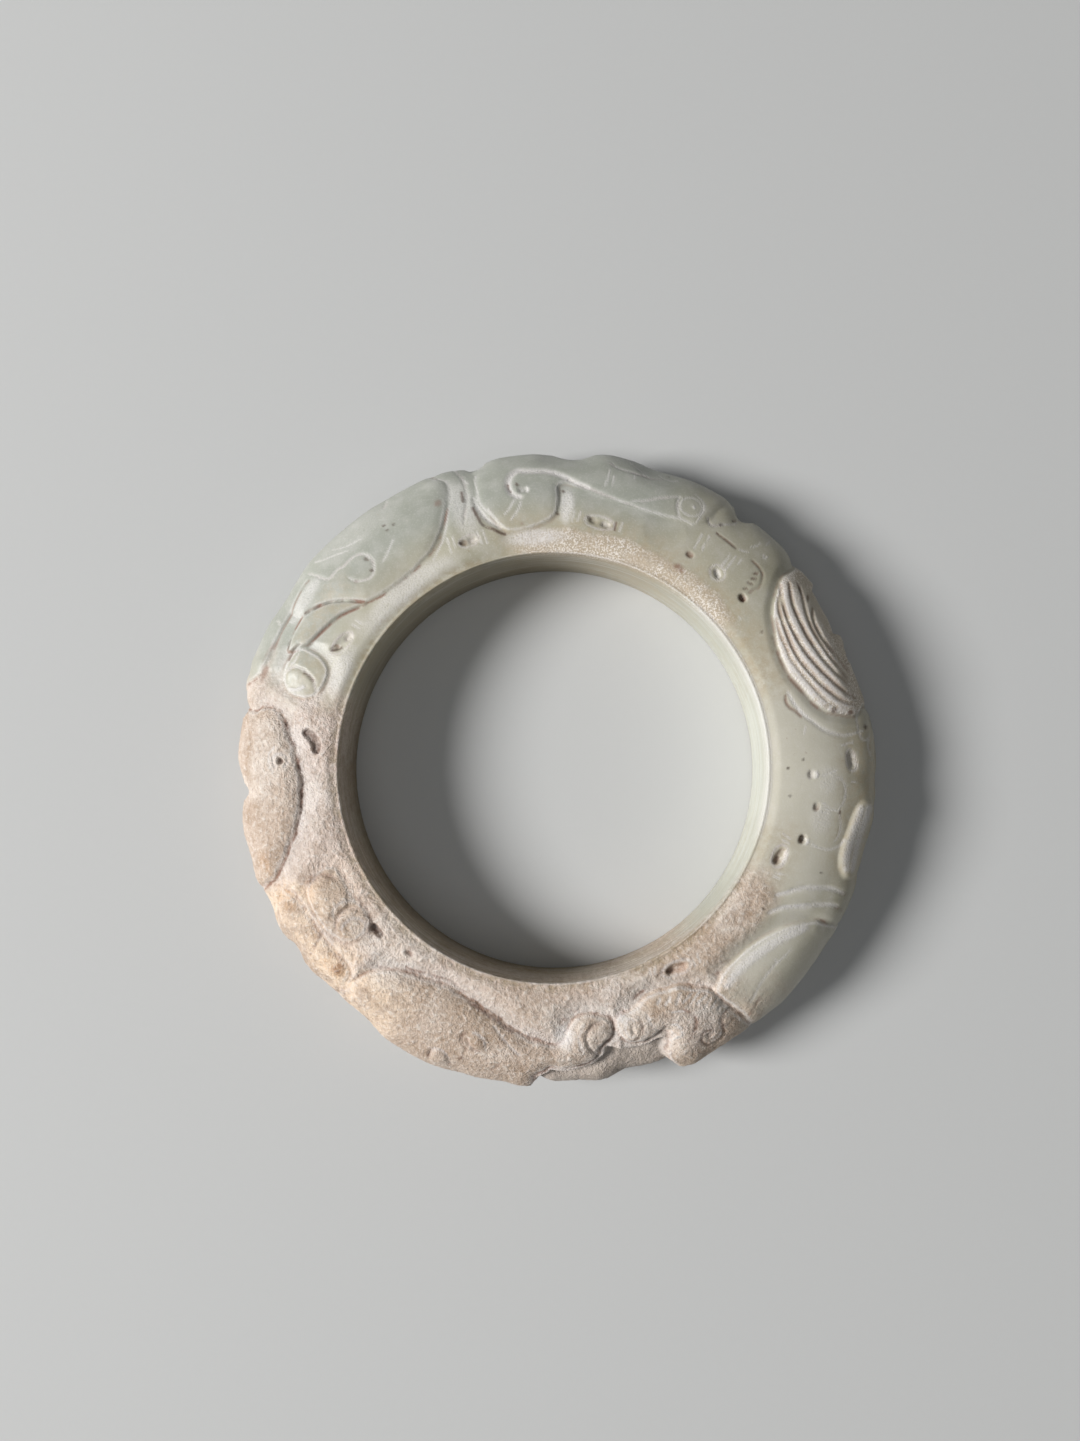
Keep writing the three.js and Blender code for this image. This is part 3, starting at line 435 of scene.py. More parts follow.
neckCuts = {
    "groove": [[(163.2, 9.3), (162, 9.7), (160.8, 9.8), (159.7, 9.3), (159, 8.6), (158.8, 7.7),
        (159.1, 6.8), (159.6, 5.9), (160.5, 5.2), (161.5, 4.8), (162.7, 4.4), (163.8, 4.4)],
        [(141.8, 14.5), (141.2, 13.2), (141, 12.3), (140.6, 11.5), (140.2, 10.9), (139, 10.8),
        (137.5, 10.8), (136.5, 10.5), (135, 10.5), (133.5, 10.4), (132.4, 10.1), (131.6, 9.5),
        (131.2, 8.7), (131.3, 7.8), (131.9, 7.1), (132.8, 6.6), (134, 6.4), (135, 6.6), (136, 7),
        (136.7, 7.5), (137, 8), (137.1, 8.6)], [(123.2, 14.2), (122.3, 15), (121.8, 16)]],
    "soilLine": [[(159.4, 6.9), (159.8, 5.9), (160.5, 5.3)], [(158.2, 10), (157, 10), (156, 9.9),
        (155, 9.5), (154.3, 9.2)], [(132, 9), (131.8, 8.5)]],
    "fill": [[(163.7, 8.4), (163.6, 7.5), (163.1, 6.8), (162.3, 6.3)]],
    "line": [[(162.5, 9.9), (161, 10.1), (159.5, 10)], [(158.8, 9.3), (158, 9), (157, 8.95),
        (156, 8.9)], [(152.5, 14), (152, 15)], [(139.5, 15), (138.5, 14.2), (137.3, 13.5),
        (136, 12.9), (134.5, 12.2), (133.5, 11.8)], [(135.5, 14), (134.5, 13.2), (133, 12.5),
        (131.5, 12.1), (130, 11.8)], [(125, 8.6), (127, 7.7), (129.5, 6.9)]],
    "dashSoil": [[(156.3, 10.7), (155.3, 11), (154.2, 11.1)], [(148.3, 10.9), (147.6, 10.6)],
        [(146.6, 10.1), (145.6, 9.7)], [(144.6, 9.2), (143.6, 8.6)], [(142.6, 7.8), (141.8, 7.2)],
        [(140.8, 6.4), (140, 5.6)]],
    "rustLine": [[(152, 7.6), (150, 7.2), (148, 6.8), (146, 6.4), (144, 5.9), (142, 5.2),
        (140.5, 4.7)]],
    "tick": [[(151.2, 12.8), (150.9, 12.1)], [(149.8, 12.9), (149.6, 12.2)], [(148.6, 13),
        (148.4, 12.3)]],
    "soil": [[(132.9, 7.1), (132.6, 7)]],
    "stain": [[(136.9, 7.6), (136.6, 7.4)], [(118.4, 4.3), (117.2, 4.7), (116, 5.4)]],
}

bandCuts = {
    "groove": [[(108.3, 18), (108.1, 16), (107.8, 14.8), (107.4, 13.8), (107.3, 12.8),
        (107.2, 11.8), (107.3, 10.8), (107.5, 9.8), (107.9, 8.8), (108.5, 8), (109.1, 7.2),
        (109.5, 6.5), (109.9, 5.8)]],
    "soil": [[(108.2, 10.8), (108.5, 9.2)], [(107, 7.8), (106.8, 7), (106.6, 6.3), (106, 5),
        (105.2, 4.5), (104, 4), (102.5, 3.3), (101.3, 2.9)]],
    "line": [[(107.2, 13.2), (106.8, 12.5), (106.6, 12)], [(112.6, 15.8), (111.2, 14.5),
        (110.3, 13.5), (110.2, 12.3), (110.4, 11.2), (111, 10), (112.4, 8.3), (113.7, 6.8),
        (115.3, 5.3), (118.5, 3.7), (120, 3.1)], [(104.7, 13.4), (105, 12.5), (105.1, 11.5),
        (105.2, 10.5), (105.3, 9.5), (105.3, 8.8), (105.1, 8), (104.6, 7.3), (104, 6.5),
        (103.3, 5.8), (102.5, 5.1)]],
    "sweep": [[(106.2, 9.3), (106.2, 8.5), (105.9, 7.5), (105.5, 6.8), (105, 6), (104.3, 5.3),
        (103.3, 4.6), (102.2, 4)]],
}

dragonCuts = {
    "line": [[(59.5, 9), (62, 8.9), (65, 8.4), (68, 8.1), (72, 8.1), (75, 8.2)], [(97.7, 7.7),
        (98.4, 7), (99.3, 6.3), (100.6, 5.6)], [(96.5, 7.1), (97, 6.4), (97.8, 5.6), (98.8, 5),
        (99.3, 4.7)], [(62, 13.5), (60.8, 13.2), (59.8, 12.8), (59.2, 12), (59, 11), (59, 10),
        (59.3, 9.3)], [(76, 16), (75.2, 15.4), (74.2, 14.8), (73, 14.2), (72.2, 13.6),
        (71.8, 13.3)], [(69.5, 14.8), (68.5, 14.4), (67, 14.4), (66, 14.9)], [(63.8, 11.2),
        (63, 12.3), (61.4, 12.7), (59.9, 12.2), (59.3, 11.2), (60, 10.2), (61.6, 9.8),
        (63.2, 10.2), (63.8, 11.2)], [(45.9, 15), (45.7, 14.3), (45.8, 13.7)], [(46.6, 13.4),
        (46.8, 12.7), (47.5, 11.5)], [(49, 10), (48, 10.3), (47.2, 10.7)]],
    "groove": [[(72, 8.1), (75, 8.2), (78, 8.5), (80, 8.8), (82.5, 9.3), (85, 9.9), (87, 10.6)],
        [(64.5, 11.8), (64.3, 11), (64, 10.3), (63.5, 9.7), (62.7, 9.1)], [(73, 8.6), (71.8, 8.9),
        (70.8, 9.1), (69.5, 9.6), (68.3, 10.2), (67, 10.7), (66, 11.2), (65, 11.6), (64.2, 11.9)],
        [(79, 14), (77.5, 13.4), (75.5, 13.2), (73.5, 13.2), (72.2, 13.3), (71, 13.3),
        (69.5, 13.7), (68.8, 14)], [(57.7, 11.2), (57.1, 10.7), (56.5, 10.5), (55.8, 10.7),
        (55.1, 11.2), (54.3, 11.9), (53.6, 12.4), (53, 12.9), (52.7, 13.7)]],
    "spiral": [[(82.5, 9.3), (85, 9.9), (87, 10.6), (89, 11.2), (91, 11.6), (93, 11.7), (95, 11.8),
        (96.5, 12), (97.6, 11.6), (98.4, 10.9), (98.8, 10), (98.7, 9.2), (98.3, 8.5), (97.5, 8),
        (96.6, 7.8)]],
    # the last fill, a small white spot inside the eye ring, is a painted highlight
    "fill": [[(88, 10.8), (91, 11.5), (95, 11.8)], [(95, 9.1), (94.9, 8.5)], [(61.2, 11.4),
        (60.9, 11.3)]],
    "palePit": [[(96.3, 8.8), (95.3, 8.8)]],
    "soil": [[(97.1, 9.8), (96.9, 9.5)], [(87.6, 8.7), (87.4, 8.5)], [(88.7, 5.3), (88.5, 5.1)],
        [(68.1, 15.6), (67.9, 15.5)]],
    "dashSoil": [[(98.9, 10), (98.8, 9.3), (98.4, 8.7)], [(54.9, 11.4), (54.4, 11.8)],
        [(53.4, 13.4), (53.2, 13.9)]],
    "tick": [[(78.7, 12.7), (79, 10)], [(77.8, 11.8), (77.6, 10.2)], [(73.7, 12.8), (73.8, 12.2)],
        [(44.7, 12.2), (44.3, 11.7)], [(43.9, 12.3), (44.2, 11.6)]],
}

# soft stains and dusty places: angle, distance, half sizes, then white, rust, soil
patches = [
    (297, 10.5, 12, 4.5, 0.35, 0, 0), (94, 2.0, 10, 1.6, 0.75, 0, 0),
    (86.5, 6.5, 2.2, 3.5, 0.7, 0, 0), (130, 13.5, 12, 3.5, 0.2, 0, 0),
    (156, 2.2, 9, 2.0, 0.6, 0, 0), (130, 2.0, 20, 2.2, 0.55, 0, 0), (146, 12.2, 7, 1.6, 0.5, 0, 0),
    (109, 8, 4, 7, 0.45, 0, 0), (272.5, 7, 3.2, 2.4, 0.75, 0, 0), (285.5, 5.5, 2, 1.0, 0.8, 0, 0),
    (272.4, 5, 1.3, 0.9, 0, 0.6, 0), (274.8, 3.7, 1.5, 0.5, 0, 0.6, 0),
    (356.8, 8, 4, 1.9, 0.3, 0, 0), (348.5, 7.6, 4, 2, 0.3, 0, 0), (57, 2.5, 2.0, 0.8, 0, 0.7, 0),
    (11, 9.7, 0.9, 0.6, 0, 0.7, 0.6), (12, 8.6, 0.8, 0.5, 0, 0.6, 0.3),
    (10, 12.3, 0.7, 0.6, 0, 0.7, 0.5), (13.8, 7.4, 0.6, 0.4, 0, 0.6, 0),
    (223, 11, 2.2, 1.5, 0, 0.55, 0), (222, 10, 2, 1, 0, 0.5, 0),
    (206.7, 10.3, 1.4, 0.9, 0, 0.5, 0), (113.5, 10.3, 1.2, 0.9, 0, 0.5, 0),
    (160, 13.3, 5, 0.9, 0, 0.6, 0.1), (359.2, 2.3, 0.5, 0.3, 0, 0, 0.8),
    (352.6, 2.8, 0.5, 0.3, 0, 0, 0.7), (338.2, 9.7, 0.4, 0.3, 0, 0, 0.8),
    (326, 4.7, 0.5, 0.35, 0, 0, 0.8), (1.2, 4.4, 0.4, 0.25, 0, 0, 0.7),
    (125, 10.3, 0.4, 0.3, 0, 0.2, 0.6), (125, 11.2, 0.4, 0.3, 0, 0.2, 0.6),
    (123.3, 10.5, 0.4, 0.3, 0, 0.2, 0.6), (32.3, 4.3, 0.5, 0.3, 0, 0.4, 0.5),
    (7, 14.5, 0.6, 0.5, 0, 0.2, 0.8), (97, 2.5, 0.8, 0.4, 0, 0.5, 0),
    (97, 3.9, 0.7, 0.3, 0, 0.5, 0),
]

# ochre stains on the calcified side: angle, distance, half sizes, strength
ochreStains = [
    (206, 11.6, 5, 2.4, 0.8), (222.5, 11.3, 5, 2.2, 1.0), (207.4, 7.8, 3, 1.8, 0.5),
    (214.9, 10.1, 3, 1.6, 0.6), (229.4, 3.3, 5, 1.4, 0.5), (199, 13, 4, 1.6, 0.5),
]

# height of the outline over the plain rim, in mm, by angle
outlineHeights = [
    (0, 0.3), (6, 0.2), (12, -0.3), (17, -0.55), (20, -1.05), (23, -0.25), (26, -0.85),
    (32, -0.85), (34, -0.15), (37, -0.15), (40, -0.65), (42, 0.1), (45, 0.1), (50, 0),
    (52.5, -0.75), (55, 0.15), (58, 0.4), (64, 0.4), (67, 0.05), (71.5, -0.2), (74, 0.2),
    (80, 0.45), (85.5, -0.6), (90, -0.4), (93, 0), (101, 0), (103, -0.65), (106, -0.65), (109, 0),
    (112, 0.2), (122, 0.2), (125, 0.4), (133, 0.45), (140, 0.65), (147, 0.05), (151, 0.05),
    (152, 0.35), (163, 0.35), (168, -0.2), (170, -0.55), (174, -0.25), (179, -0.1), (183, -1.2),
    (186, -1.2), (188, -0.4), (192, -0.15), (197, -0.5), (200, -0.2), (204, -0.7), (207, -0.7),
    (210.5, -0.2), (215, -0.8), (218, -0.65), (221, -0.65), (224.5, -1.25), (227, -1),
    (231, -1.15), (236, -0.9), (238, -0.35), (241, -0.35), (246, -0.2), (249, -0.2), (253, -0.6),
    (256, -0.5), (261, -0.75), (265, -0.5), (267, -1.4), (276, -1.4), (278, -0.9), (281, -1.25),
    (283, -2.05), (286, -1.8), (290, -1.65), (292.5, -0.3), (294, 0.25), (296, 0.4), (299, 0.15),
    (305, 0), (310, 0.1), (314, 0.5), (320, 0.35), (328, 0.15), (333, 0.35), (338, 0.35),
    (342, 0.15), (345, 0), (348, 0.3), (351, 0.55), (356, 0.3), (357, -0.1), (360, 0.3),
]


def turned(angle, reference):
    return reference + (angle - reference + 180) % 360 - 180


def smooth(value, low, high):
    share = np.clip((value - low) / (high - low), 0, 1)
    return share * share * (3 - 2 * share)


# share that is 1 between two angles and fades at both of them
def between(angle, start, end, fade=3.0):
    here = turned(angle, (start + end) / 2)
    return smooth(here, start, start + fade) * (1 - smooth(here, end - fade, end))


def zone(angle, name):
    return between(angle, *zones[name])


# how far a point is from the middle of an oval spot, 1 at its edge
def spotReach(angle, girth, at, across, halfAngle, halfGirth):
    return np.hypot((turned(angle, at) - at) / halfAngle, (girth - across) / halfGirth)


# keeps the greater of a mark that is there and a new one
def raiseMark(marks, name, picked, value):
    marks[name][picked] = np.maximum(marks[name][picked], value)


# blurs a row of values that runs once round the ring
def blurRound(values, reach, width):
    weights = np.exp(-0.5 * (np.arange(-reach, reach + 1) / width) ** 2)
    looped = np.concatenate([values[-reach:], values, values[:reach]])
    return np.convolve(looped, weights / weights.sum(), "valid")


# smooth line through given points, in degrees and mm
def lineThrough(points, closed=False, steps=4):
    p = np.array(points, float)
    if len(p) == 2 and not closed:
        return p
    if closed:
        p = np.vstack([p[-1], p, p[0], p[1]])
    else:
        p = np.vstack([2 * p[0] - p[1], p, 2 * p[-1] - p[-2]])
    flat = p * [0.65, 1.0]    # a degree is about 0.65 mm round the ring
    gaps = np.sqrt(np.maximum(np.linalg.norm(np.diff(flat, axis=0), axis=1), 1e-6))
    out = []
    for i in range(1, len(p) - 2):
        t0, t1, t2, t3 = np.concatenate([[0], np.cumsum(gaps[i - 1:i + 2])])
        u = np.linspace(t1, t2, steps, endpoint=False)[:, None]
        a1 = ((t1 - u) * p[i - 1] + (u - t0) * p[i]) / (t1 - t0)
        a2 = ((t2 - u) * p[i] + (u - t1) * p[i + 1]) / (t2 - t1)
        a3 = ((t3 - u) * p[i + 1] + (u - t2) * p[i + 2]) / (t3 - t2)
        b1 = ((t2 - u) * a1 + (u - t0) * a2) / (t2 - t0)
        b2 = ((t3 - u) * a2 + (u - t1) * a3) / (t3 - t1)
        out.append(((t2 - u) * b1 + (u - t1) * b2) / (t2 - t1))
    out.append(p[-2][None])
    return np.vstack(out)


# outline of an oval eyelet, as a line to cut
def ovalLine(at, across, along, wide, turn):
    way = np.radians(np.linspace(0, 360, 13))
    x, y = along * np.cos(way), wide * np.sin(way)
    lean = math.radians(turn)
    perDegree = math.radians(bangle["boreRadius"] + across)
    x, y = x * math.cos(lean) - y * math.sin(lean), x * math.sin(lean) + y * math.cos(lean)
    return list(zip(at + x / perDegree, across + y))


# distance in mm to a line, and how far along it the nearest point is
def distanceTo(line, angle, girth, perDegree):
    least = np.full(len(angle), 1e9)
    along = np.zeros(len(angle))
    for i in range(len(line) - 1):
        ax = (line[i, 0] - angle) * perDegree
        ay = line[i, 1] - girth
        dx = (line[i + 1, 0] - line[i, 0]) * perDegree
        dy = line[i + 1, 1] - line[i, 1]
        share = np.clip(-(ax * dx + ay * dy) / (dx * dx + dy * dy + 1e-9), 0, 1)
        gap = np.hypot(ax + share * dx, ay + share * dy)
        closer = gap < least
        least[closer] = gap[closer]
        along[closer] = i + share[closer]
    return least, along / (len(line) - 1)


def isInside(line, angle, girth):
    inside = np.zeros(len(angle), bool)
    for (ax, ay), (bx, by) in zip(line[:-1], line[1:]):
        crosses = (ay > girth) != (by > girth)
        side = angle < ax + (girth - ay) / (by - ay if by != ay else 1e-9) * (bx - ax)
        inside ^= crosses & side
    return inside


# vertices near a line, with their angles unwrapped towards it
def around(line, reach, angle, girth, allowed):
    low, high = line.min(0), line.max(0)
    middle = (low[0] + high[0]) / 2
    here = turned(angle, middle)
    near = np.abs(here - middle) < (high[0] - low[0]) / 2 + reach / 0.5
    near &= (girth > low[1] - reach) & (girth < high[1] + reach) & allowed
    picked = np.nonzero(near)[0]
    return picked, here[picked]


# bodies stand up from the ground, which sinks beside them
def carveBodies(angle, girth, perDegree, marks):
    b = bangle
    everywhere = np.ones(len(angle), bool)
    ground = np.zeros(len(angle))
    body = np.full(len(angle), noBody)
    for shape in bodies.values():
        line = lineThrough(shape["outline"], closed=True)
        picked, here = around(line, max(shape["reach"], 1.0), angle, girth, everywhere)
        gap, _ = distanceTo(line, here, girth[picked], perDegree[picked])
        into = np.where(isInside(line, here, girth[picked]), gap, -gap)
        foot = shape["sunk"] * between(here, *shape["round"]) if shape["sunk"] else 0 * here
        rolled = 1 - (1 - np.clip(into / shape["roll"], 0, 1)) ** 2
        steep = smooth(into, b["stepFrom"], b["stepTo"])
        step = shape["lip"] * steep + (1 - shape["lip"]) * rolled
        swell = b["swellHeight"] * (1 - np.exp(-np.maximum(into, 0) / b["swellRun"]))
        crown = (shape["lift"] + swell) * np.minimum(1, girth[picked] / b["drawnWidth"] + 0.3)
        top = np.where(into > b["stepFrom"], (crown + foot) * step - foot, noBody)
        body[picked] = np.maximum(body[picked], top)
        sinking = smooth(into, -shape["reach"], 0) * (into <= 0)
        ground[picked] = np.minimum(ground[picked], -foot * sinking)
        shown = (here > shape["round"][0]) & (here < shape["round"][1])
        edge = (1 - smooth(np.abs(into + 0.12), 0.06, 0.26)) * shown
        rim = smooth(into, 0.1, 0.3) * (1 - smooth(into, 0.3, 0.7)) * shown
        raiseMark(marks, "body", picked, smooth(into, 0, 0.5))
        raiseMark(marks, "rust", picked, edge * shape["rust"])
        raiseMark(marks, "white", picked, rim * shape["dust"])
        raiseMark(marks, "sunk", picked, sinking * shown * (shape["sunk"] > 0.3))
    isGround = body <= noBody + 1
    marks["sunk"] *= isGround
    return np.where(isGround, ground, body)


# sunk panels with crisp edges
def carveRecesses(lift, angle, girth, perDegree, marks):
    everywhere = np.ones(len(angle), bool)
    for shape in recesses:
        line = lineThrough(shape["outline"], closed=True)
        picked, here = around(line, 1.0, angle, girth, everywhere)
        gap, _ = distanceTo(line, here, girth[picked], perDegree[picked])
        inside = isInside(line, here, girth[picked])
        lift[picked] -= np.where(inside, shape["depth"] * smooth(gap, 0, 0.9), 0)
        # the inside of a sunk panel is darkened as painted shade
        raiseMark(marks, "panelShade", picked, inside * smooth(gap, 0, 0.6))


# cuts on the top: scrolls, flutes, pits and ticks, with what is left in them
def carveCuts(lift, angle, girth, perDegree, marks, onTop):
    rims = {"rim": [ovalLine(*eyelet) for eyelet in eyelets]}
    tables = (rims, shellCuts, eyeletCuts, tailedPits, sweepCuts, creatureCuts, fishCuts,
              wornCuts, leafCuts, neckCuts, bandCuts, dragonCuts)
    cuts = [(kind, points) for table in tables for kind in table for points in table[kind]]
    for kind, points in cuts:
        half, depth, flat, taper, *deposits = cutKinds[kind]
        line = lineThrough(points)
        picked, here = around(line, half + 0.3, angle, girth, onTop)
        gap, along = distanceTo(line, here, girth[picked], perDegree[picked])
        width = half * (1 - taper * (1 - np.sin(np.pi * np.clip(along, 0, 1)) ** 0.5) * 0.6)
        cut = 1 - smooth(gap, flat * width, width)
        lift[picked] -= depth * cut * (width / half)
        mark = 1 - smooth(gap, (0.2 + flat) * width, width)
        for name, value in zip(depositNames, deposits):
            raiseMark(marks, name, picked, mark * value)


# the carved surface: height over the plain section, and the deposits left on it
def carve(angle, girth, perDegree, isUnder):
    b = bangle
    onTop = ~isUnder
    marks = {name: np.zeros(len(angle)) for name in (*depositNames, "body", "sunk", "panelShade")}
    lift = carveBodies(angle, girth, perDegree, marks)
    lift -= b["wearDepth"] * zone(angle, "wornFlank") * smooth(girth, 5, b["drawnWidth"])
    carveRecesses(lift, angle, girth, perDegree, marks)
    for *spot, depth in hollows:
        reach = spotReach(angle, girth, *spot)
        lift -= depth * np.maximum(0, 1 - reach * reach) * (onTop | (spot[1] > b["flankFrom"]))
    carveCuts(lift, angle, girth, perDegree, marks, onTop)
    for patch in patches:
        mark = (1 - smooth(spotReach(angle, girth, *patch[:4]), 0.4, 1.0)) * onTop
        for name, value in zip(depositNames, patch[4:]):
            marks[name] = np.maximum(marks[name], mark * value)
    return lift, marks


# half of the section, from the bore's edge to the rim: places at the wanted girths
def halfSection(land, isTop, girths):
    b = bangle
    start = b["boreRadius"] + b["edgeBreak"]
    turn = np.linspace(0, math.pi / 2, 800)
    r = np.concatenate([[start], start + land + (b["rimRadius"] - start - land) * np.sin(turn)])
    z = np.concatenate([[b["height"]], b["height"] / 2 * (1 + np.cos(turn))])
    length = np.concatenate([[0], np.cumsum(np.hypot(np.diff(r), np.diff(z)))])
    length *= b["drawnWidth"] / length[-1]
    r, z = np.interp(girths, length, r), np.interp(girths, length, z)
    return r, z if isTop else b["height"] - z


# the whole section: top, underside, bore wall, and which of the three each point is on
def ringSection():
    b = bangle
    fine = np.linspace(0, b["fineTo"], b["fineRows"] + 1)
    top = np.append(fine[:-1], np.linspace(b["fineTo"], b["drawnWidth"], b["sideRows"] + 1))
    under = b["drawnWidth"] * np.sin(np.linspace(math.pi / 2, 0, b["undersideRows"] + 1)[1:])
    topR, topZ = halfSection(b["topLand"], True, top)
    underR, underZ = halfSection(b["undersideLand"], False, under)
    boreZ = np.linspace(b["edgeBreak"], b["height"] - b["edgeBreak"], b["boreRows"] + 1)
    boreR = np.full(len(boreZ), b["boreRadius"])
    edge = b["edgeBreak"] * (1 - math.sqrt(0.5))
    r = np.concatenate([topR, underR, [b["boreRadius"] + edge], boreR, [b["boreRadius"] + edge]])
    z = np.concatenate([topZ, underZ, [edge], boreZ, [b["height"] - edge]])
    part = np.concatenate([np.zeros(len(top)), np.ones(len(under)), np.full(len(boreZ) + 2, 2)])
    girth = np.concatenate([top, under, [0], np.zeros(len(boreZ)), [0]])
    return r, z, girth, part


def deselectAll():
    bpy.ops.object.select_all(action="DESELECT")


# the plain section, spun round the bore's axis
def spinRing(sectionR, sectionZ):
    deselectAll()
    bpy.ops.mesh.primitive_circle_add(vertices=len(sectionR), radius=0.006, location=(0, 0, 0))
    ring = bpy.context.object
    ring.name = "carvedRing"
    for vertex, r, z in zip(ring.data.vertices, sectionR, sectionZ):
        vertex.co = (r * mm, 0, z * mm)
    bpy.ops.object.mode_set(mode="EDIT")
    bpy.ops.mesh.select_all(action="SELECT")
    bpy.ops.mesh.spin(steps=bangle["columns"], angle=2 * math.pi, center=(0, 0, 0),
                      axis=(0, 0, 1))
    bpy.ops.mesh.select_all(action="SELECT")
    bpy.ops.mesh.remove_doubles(threshold=0.00001)
    bpy.ops.mesh.normals_make_consistent(inside=False)
    bpy.ops.object.mode_set(mode="OBJECT")
    return ring


# how far each point still has to move for the outline seen from above
def outlineChange(angle, sectionR, sectionGirth, sectionPart):
    b = bangle
    ways = np.arange(0, 360, 0.5)
    here = np.full(len(ways), b["rimTo"])
    onTop = sectionPart == 0
    rimR = np.interp(b["rimTo"], sectionGirth[onTop], sectionR[onTop])
    now, _ = carve(ways, here, np.full(len(ways), math.radians(rimR)), np.zeros(len(ways), bool))
    now = blurRound(now, 8, 3.0)
    knots = np.array(outlineHeights)
    wanted = np.interp(ways, knots[:, 0], knots[:, 1] + b["outlineRaise"])
    wanted = blurRound(wanted, 6, 2.2)
    return np.interp(angle, np.append(ways, 360), np.append(wanted - now, wanted[0] - now[0]))


# where each finish of the stone shows, 0 to 1
def stoneMasks(angle, girth, z, kind, marks, calcified, crust):
    def inZone(name):
        return zone(angle, name)

    def nearBore(start, end):
        return 1 - smooth(girth, start, end)

    def nearRim(start, end):
        return smooth(girth, start, end)

    height = bangle["height"]
    isBore = kind == 2
    body = marks["body"]
    calcified = calcified * (1 - 0.7 * body * inZone("soundNeck"))
    # cream on the warm wing, and painted light on the crested creature's outer part
    warmAndPaintedLight = np.maximum(inZone("warmWing") * (0.35 + 0.65 * nearRim(5, 9)),
                      0.6 * inZone("paintedLightCreature") * nearRim(6, 9))
    # milky pale stone, partly painted light on the right side's inner part and on the pale leaf
    milkyAndPaintedLight = np.maximum(inZone("milkySide") * nearBore(8, 14),
                       inZone("milkyLeaf") * nearRim(6, 8) * (1 - 0.6 * nearRim(9, 13)))
    ochre = np.zeros(len(angle))
    for *spot, strength in ochreStains:
        reach = spotReach(angle, girth, *spot)
        ochre = np.maximum(ochre, strength * (1 - smooth(reach, 0.2, 1)) * (kind == 0))
    beige = np.maximum.reduce([
        inZone("beigeRim") * nearRim(7, 13), inZone("beigeBore") * nearBore(2, 7),
        0.7 * inZone("beigeBand") * nearBore(3, 8), 0.6 * body * inZone("beigeNeck")
        * nearBore(9, 12)])
    isShell = (body > 0.3) * inZone("shell")
    ridges = isShell * nearBore(9, 14.5) * (1 - smooth(marks["rust"], 0, 0.3))
    chalk = marks["sunk"] * np.maximum(inZone("dustyGround") * 0.32, 0.4 * calcified)
    chalk *= nearBore(12, 15)
    upper = (kind != 1) & (z > height - 1.2)
    # white edge from wear, and a painted highlight on the side facing the lamp
    wornEdgeAndHighlight = upper * (girth < 0.3) * inZone("wornEdgeAndHighlight")
    stained = upper * nearBore(0.3, 1.3) * inZone("stainedEdge")
    boreStain = isBore * inZone("boreStain") * smooth(z, height - 6, height - 1)
    return {
        "calcified": calcified,
        "crust": np.maximum(crust, 0.75 * isShell),
        "milkyAndPaintedLight": milkyAndPaintedLight,
        "standing": body,
        "white": np.maximum.reduce([marks["white"], chalk, 0.5 * wornEdgeAndHighlight, 0.85 * ridges]),
        "rust": marks["rust"],
        "soil": marks["soil"],
        "warmAndPaintedLight": warmAndPaintedLight,
        "beige": beige,
        # painted greenish reflected light on the upper flanks
        "greenishReflection": inZone("greenishReflection") * nearRim(3, 9),
        "ochre": ochre,
        "bore": isBore.astype(float),
        "stained": np.maximum(stained, boreStain),
        # painted shade inside the sunk panel
        "panelShade": marks["panelShade"] * inZone("panelShade"),
        "sandy": np.maximum(inZone("sandyCreature"), 0.6 * inZone("sandyFish"))
        * nearBore(4.5, 8),
        # painted shade: the bore wall's shaded side darkens towards the underside
        "paintedBoreShade": isBore * (1 - z / height) * inZone("shadedBoreSide"),
        # painted light: the bore wall's lit side is tinted pale bluish-green
        "litBore": isBore * inZone("litBore"),
    }


